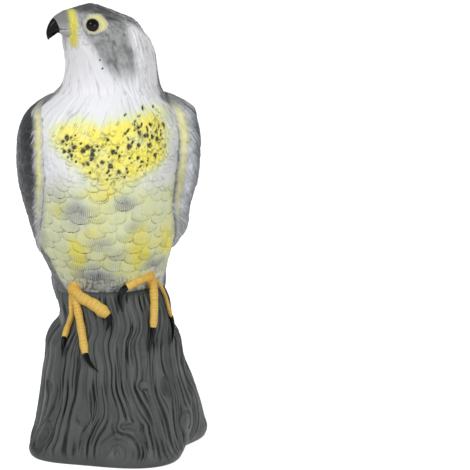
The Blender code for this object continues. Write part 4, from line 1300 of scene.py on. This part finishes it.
# A toe is its girth, its run and its talon's tip, as x from the bird's axis and height from
# the perch, and how slim it is at its root and at its end.
FEET = {
    "right": {
        "hub": (-33, 3),
        "outer": (0.85, [(-34.5, -3), (-34.5, -20), (-41, -40)], (-43, -56), (0.60, 0.92)),
        "middle": (0.95, [(-31, -4), (-27, -25), (-23, -50)], (-12, -65), (0.90, 0.98)),
        "inner": (1.45, [(-25, -3), (-14, -8.5), (-4.5, -15.5)], (-5, -31), (0.78, 1.0)),
    },
    "left": {
        "hub": (34, 13),
        "outer": (0.72, [(41, 5), (47, -9), (52.5, -28)], (53, -48), (0.64, 0.64)),
        "middle": (1.0, [(36, 5), (37, -10), (36, -31)], (31, -50), (0.96, 0.82)),
        "inner": (1.05, [(28, 12), (20, 9), (13, 6)], (9.5, -14), (0.85, 0.85)),
    },
}
TOE_RADIUS = 4.0
TOE_SWELLS = (1.15, 1.1, 0.98, 1.08, 0.95, 1.06, 0.95, 1.04, 0.92)
TOE_TIP = 0.84
TOE_STEPS = 90
TOE_SIDES = 28
HUB_RADIUS = 7.6
HUB_SHAPE = (0.66, 0.8, 1.0)
TALON_RADIUS = 2.75
TALON_TAPER = (1.0, 1.0, 0.92, 0.78, 0.58, 0.36, 0.10)
TALON_STEPS = 40
TALON_SIDES = 32
SCUTE = 2.0
SKIN_STEP = 0.42
FOOT_SHIFT = 2.0
# From this height up the feet lean back over the rim of the stump.
RIM_HEIGHT = PERCH - 8
RIM_SLOPE = 0.30


def foot_spot(spot, proud):
    """A point that stands proud of the stump's front or, above its rim, of the belly."""
    x = BIRD_AXIS[0] + FOOT_SHIFT + spot[0]
    height = PERCH + spot[1]
    under = front_of(STUMP, STUMP_AXIS, 0.0, x, min(height, RIM_HEIGHT))
    y = under[1] + max(0, height - RIM_HEIGHT) * RIM_SLOPE
    if height > PERCH:
        y = min(y, front_of(TORSO, BIRD_AXIS, PERCH, x, height - PERCH)[1])
    outward = unit((under - (*STUMP_AXIS, 0)) * (1, 1, 0))
    return np.array([under[0], y, height]) + outward * proud


def toe_path(hub, plan_hub, run, radius, count):
    """A toe's middle line, laid on the bark and the belly from its hub to its end."""
    rows = smooth_rows([(*spot, 0, 0, 0) for spot in [plan_hub, *run]], count)
    return np.array([hub] + [foot_spot(row[:2], radius * 0.45) for row in rows[1:]])


def tube_skin(path, radii, sides, start_way=None):
    """Rings round a path, as a grid of points."""
    rings = []
    up = np.array([1.0, 0, 0])
    turn = np.linspace(0, 2 * math.pi, sides + 1)[:, None]
    for i, (spot, radius) in enumerate(zip(path, radii)):
        ahead = unit(path[min(i + 1, len(path) - 1)] - path[max(i - 1, 0)])
        if i == 0 and start_way is not None:
            ahead = start_way
        side = unit(np.cross(up, ahead))
        up = np.cross(ahead, side)
        rings.append(spot + (side * np.cos(turn) + up * np.sin(turn)) * radius)
    return np.array(rings)


def blunt(path, radii, steps=7):
    """A path and its radii with a round end added."""
    way = unit(path[-1] - path[-2])
    turn = np.linspace(0, math.pi / 2, steps + 1)[1:, None]
    end = path[-1] + way * np.sin(turn) * radii[-1] * 0.9
    shrinking = radii[-1] * np.maximum(np.cos(turn[:, 0]), 0.05)
    return np.concatenate([path, end]), np.concatenate([radii, shrinking])


def build_foot(side, plan):
    """Hub and toes as closed forms, fused into one skin that the scutes are raised on."""
    hub = foot_spot(plan["hub"], -1.0)
    bm = bmesh.new()
    bmesh.ops.create_uvsphere(bm, u_segments=40, v_segments=24, radius=HUB_RADIUS)
    bmesh.ops.scale(bm, verts=bm.verts, vec=HUB_SHAPE)
    bmesh.ops.translate(bm, verts=bm.verts, vec=hub)
    samples = []
    for toe in TOES:
        size, run, _, slim = plan[toe]
        radius = TOE_RADIUS * size
        path = toe_path(hub, plan["hub"], run, radius, TOE_STEPS)
        at = np.linspace(0, 1, TOE_STEPS)
        swell = np.interp(at, np.linspace(0, 1, len(TOE_SWELLS)), TOE_SWELLS)
        swell = swell * np.interp(at, (0.15, 1), slim) * np.interp(at, (0.92, 1), (1, TOE_TIP))
        steps = np.linalg.norm(np.diff(path, axis=0), axis=-1)
        samples.append(np.column_stack([path, np.concatenate([[0], np.cumsum(steps)])]))
        fine, radii = blunt(path, radius * swell)
        rings = tube_skin(fine, radii, TOE_SIDES)[:, :-1]
        made = [[bm.verts.new(spot) for spot in ring] for ring in rings]
        ends = [
            bm.edges.new((ring[k - 1], ring[k]))
            for ring in (made[0], made[-1]) for k in range(TOE_SIDES)
        ]
        for near, far in zip(made, made[1:]):
            for k in range(TOE_SIDES):
                bm.faces.new((near[k - 1], near[k], far[k], far[k - 1]))
        bmesh.ops.holes_fill(bm, edges=ends, sides=0)
    bmesh.ops.recalc_face_normals(bm, faces=bm.faces)
    shape = put_in_scene("foot_rough", mesh_of(bm, "foot_rough"))
    fuse = shape.modifiers.new("fuse", "REMESH")
    fuse.mode = "VOXEL"
    fuse.voxel_size = SKIN_STEP
    settle = shape.modifiers.new("settle", "SMOOTH")
    settle.factor = 0.5
    settle.iterations = 6
    bpy.context.view_layer.update()
    fused = shape.evaluated_get(bpy.context.evaluated_depsgraph_get())
    mesh = bpy.data.meshes.new_from_object(fused)
    bpy.data.objects.remove(shape)
    mesh.name = "foot_" + side + "_scutes"

    samples = np.concatenate(samples)
    tree = tree_of(samples[:, :3])
    place, normal = np.empty((2, len(mesh.vertices) * 3))
    mesh.vertices.foreach_get("co", place)
    mesh.vertices.foreach_get("normal", normal)
    place, normal = place.reshape(-1, 3), normal.reshape(-1, 3)
    near = np.array([tree.find(spot)[1] for spot in place])
    along = samples[near, 3]
    from_hub = np.linalg.norm(place - hub, axis=-1)
    outward = unit(place - samples[near, :3])
    top = ease(-outward[:, 1] - 0.1 * outward[:, 2], 0.15, 0.65)
    phase = along / SCUTE + 0.18 * np.sin(near * 0.7) + 0.10 * wander(place, 4, 6)
    scute = np.abs(np.sin(math.pi * phase)) ** 0.55
    scaled = ease(from_hub, HUB_RADIUS * 0.7, HUB_RADIUS * 1.3)
    pebble = wander(place, 1.5, 3)
    relief = (0.42 * (scute - 0.75)) * top * scaled + 0.12 * pebble * (1 - top * scaled)
    place = place + normal * relief[:, None]
    # Painted shade in the grooves between the scutes and in the hollows of the pebbled skin
    shade_and_dark = (1 - scute) * top * scaled * 0.5 + 0.22 * ease(-pebble, 0.0, 0.7) * (1 - top)
    deep = 1 - ease(from_hub, HUB_RADIUS * 0.6, HUB_RADIUS * 2.4)
    mesh.vertices.foreach_set("co", (place * MM).ravel())
    paint_weights(mesh, np.stack([0.5 * deep, 0 * deep, shade_and_dark, 0 * deep + 1], -1))
    mesh.shade_smooth()
    return put_in_scene(mesh.name, mesh), hub


toe_paint = feather_paint(
    "toe_paint", tone(228, 190, 96), tone(216, 162, 58), tone(228, 190, 96),
    tone(150, 100, 34), 0.7,
)
for side, plan in FEET.items():
    foot, hub = build_foot(side, plan)
    foot.data.materials.append(toe_paint)
    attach(foot, "decoy")
    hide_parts("foot_" + side)
    for toe in TOES:
        size, run, claw, _ = plan[toe]
        path = toe_path(hub, plan["hub"], run, TOE_RADIUS * size, len(TOE_SWELLS))
        way = unit(path[-1] - path[-2])
        root = TALON_RADIUS * min(size, 1.2)
        start = path[-1] - way * 0.6
        tip = foot_spot(claw, root * 0.6)
        bend = start + way * np.linalg.norm(tip - start) * 0.5
        t = np.linspace(0, 1, TALON_STEPS)[:, None]
        curve = (1 - t) ** 2 * start + 2 * t * (1 - t) * bend + t**2 * tip
        taper = np.interp(t[:, 0], np.linspace(0, 1, len(TALON_TAPER)), TALON_TAPER)
        curve, radii = blunt(curve, root * taper, 4)
        grid = tube_skin(curve, radii, TALON_SIDES, way)
        talon = lay_skin("claw_%s_%s" % (side, toe), grid, coat_of(grid))
        talon.data.materials.append(black_paint)
        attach(talon, "decoy")
        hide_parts("talon_%s_%s" % (side, toe))


# The base plug: a soft turned cup with a flange under the stump's floor and a moulded
# pull tab.  It is pushed in by hand and closes the hole that sand can be filled in by.
PLUG_LOW, PLUG_TOP = (corner.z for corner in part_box("base_plug"))
PLUG_PLAY = 0.3 * MM
FLANGE_UNDER = FLOOR_RECESS * MM - PLUG_PLAY
FLANGE = 1.8 * MM
PLUG_BORE = HOLE_RADIUS * MM - PLUG_PLAY
PLUG_RIM = (HOLE_RADIUS + FLANGE_LAP) * MM
PLUG_WALL = 1.6 * MM
TAB = (22 * MM, 5 * MM)
profile = [
    (0.0, FLANGE_UNDER - FLANGE),
    (PLUG_RIM, FLANGE_UNDER - FLANGE),
    (PLUG_RIM, FLANGE_UNDER),
    (PLUG_BORE, FLANGE_UNDER),
    (PLUG_BORE, PLUG_TOP),
    (PLUG_BORE - PLUG_WALL, PLUG_TOP),
    (PLUG_BORE - PLUG_WALL, FLANGE_UNDER - FLANGE + PLUG_WALL),
    (0.0, FLANGE_UNDER - FLANGE + PLUG_WALL),
]
bm = bmesh.new()
verts = [bm.verts.new((x, 0, z)) for x, z in profile]
edges = [bm.edges.new(pair) for pair in zip(verts, verts[1:])]
bmesh.ops.spin(bm, geom=verts + edges, cent=(0, 0, 0), axis=(0, 0, 1), dvec=(0, 0, 0),
               angle=2 * math.pi, steps=96, use_merge=True, use_duplicate=False)
bmesh.ops.remove_doubles(bm, verts=bm.verts, dist=0.00001)
tab = bmesh.ops.create_cube(bm, size=1.0)["verts"]
tab_top = FLANGE_UNDER - FLANGE / 2
bmesh.ops.scale(bm, verts=tab, vec=(*TAB, tab_top - PLUG_LOW))
bmesh.ops.translate(bm, verts=tab, vec=(0, 0, (tab_top + PLUG_LOW) / 2))
bmesh.ops.translate(bm, verts=bm.verts, vec=(HOLE_CENTRE.x * MM, HOLE_CENTRE.y * MM, 0))
bmesh.ops.recalc_face_normals(bm, faces=bm.faces)
mesh = mesh_of(bm, "plug_cap")
plug = put_in_scene("plug_cap", mesh)
soften = plug.modifiers.new("soften", "BEVEL")
soften.width = 0.4 * MM
soften.segments = 3
soften.limit_method = "ANGLE"
mesh.materials.append(glossy_paint("plug_plastic", tone(48, 50, 51), 0.5, 200.0))
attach(plug, "plug")
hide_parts("base_plug")


# The camera looks level with the breast and a little down, as for a catalogue picture,
# with the bird left of the middle.  The floor and the backdrop are plain white.
VIEW_HEIGHT = 0.2
VIEW_DISTANCE = 2.0
VIEW_ELEVATION = math.radians(11)
PICTURE = 470
SENSOR = 36
# How much of the object a pixel covers, and the pixel that shows the view's centre.
PIXEL = 0.902 * MM
LENS = SENSOR / PICTURE / PIXEL * VIEW_DISTANCE
BIRD_PIXEL = (111.8, 229.3)

camera = put_in_scene("camera", bpy.data.cameras.new("camera"))
bpy.context.scene.camera = camera
centre = Vector((0, 0, VIEW_HEIGHT))
back = Vector((0, -math.cos(VIEW_ELEVATION), math.sin(VIEW_ELEVATION)))
camera.location = centre + back * VIEW_DISTANCE
upward = Vector((0, math.sin(VIEW_ELEVATION), math.cos(VIEW_ELEVATION)))
across, down = ((PICTURE / 2 - pixel) * PIXEL for pixel in BIRD_PIXEL)
aim_at = centre + Vector((across, 0, 0)) - upward * down
camera.rotation_euler = (aim_at - camera.location).to_track_quat("-Z", "Y").to_euler()
camera.data.lens = LENS
camera.data.clip_end = 50

bm = bmesh.new()
bmesh.ops.create_grid(bm, x_segments=1, y_segments=1, size=6)
floor = put_in_scene("floor", mesh_of(bm, "floor"))
white, tree, shader, _ = start_material("studio_white")
shader.inputs["Base Color"].default_value = (0.5, 0.5, 0.5, 1)
shader.inputs["Roughness"].default_value = 0.8
shader.inputs["Specular IOR Level"].default_value = 0.0
shader.inputs["Emission Color"].default_value = (1, 1, 1, 1)
rays = add(tree, "ShaderNodeLightPath")
seen = reckon(tree, "MAXIMUM", rays.outputs["Is Camera Ray"], rays.outputs["Is Glossy Ray"])
seen = reckon(tree, "MAXIMUM", seen, rays.outputs["Is Transmission Ray"])
tree.links.new(reckon(tree, "MULTIPLY", seen, 0.86), shader.inputs["Emission Strength"])
floor.data.materials.append(white)

world = bpy.data.worlds.new("studio")
bpy.context.scene.world = world
world.use_nodes = True
tree = world.node_tree
seen = add(tree, "ShaderNodeLightPath").outputs["Is Camera Ray"]
level = add(tree, "ShaderNodeMapRange", {"Value": seen, "To Min": 0.45, "To Max": 1.0})
tree.links.new(level.outputs["Result"], tree.nodes["Background"].inputs["Strength"])
tree.nodes["Background"].inputs["Color"].default_value = (1, 1, 1, 1)

LIT_SPOT = Vector((0, 0, 0.22))
for name, place, size, power in (
    ("key", (-1.1, -1.5, 1.5), 0.7, 22.5),
    ("fill", (1.3, -1.7, 0.3), 1.2, 19),
    ("rim", (0.9, 1.6, 1.3), 0.8, 8),
):
    lamp = bpy.data.lights.new(name, "AREA")
    lamp.shape = "SQUARE"
    lamp.size = size
    lamp.energy = power
    box = put_in_scene(name, lamp)
    box.location = place
    box.rotation_euler = (LIT_SPOT - Vector(place)).to_track_quat("-Z", "Y").to_euler()
bpy.context.scene.view_settings.view_transform = "Standard"
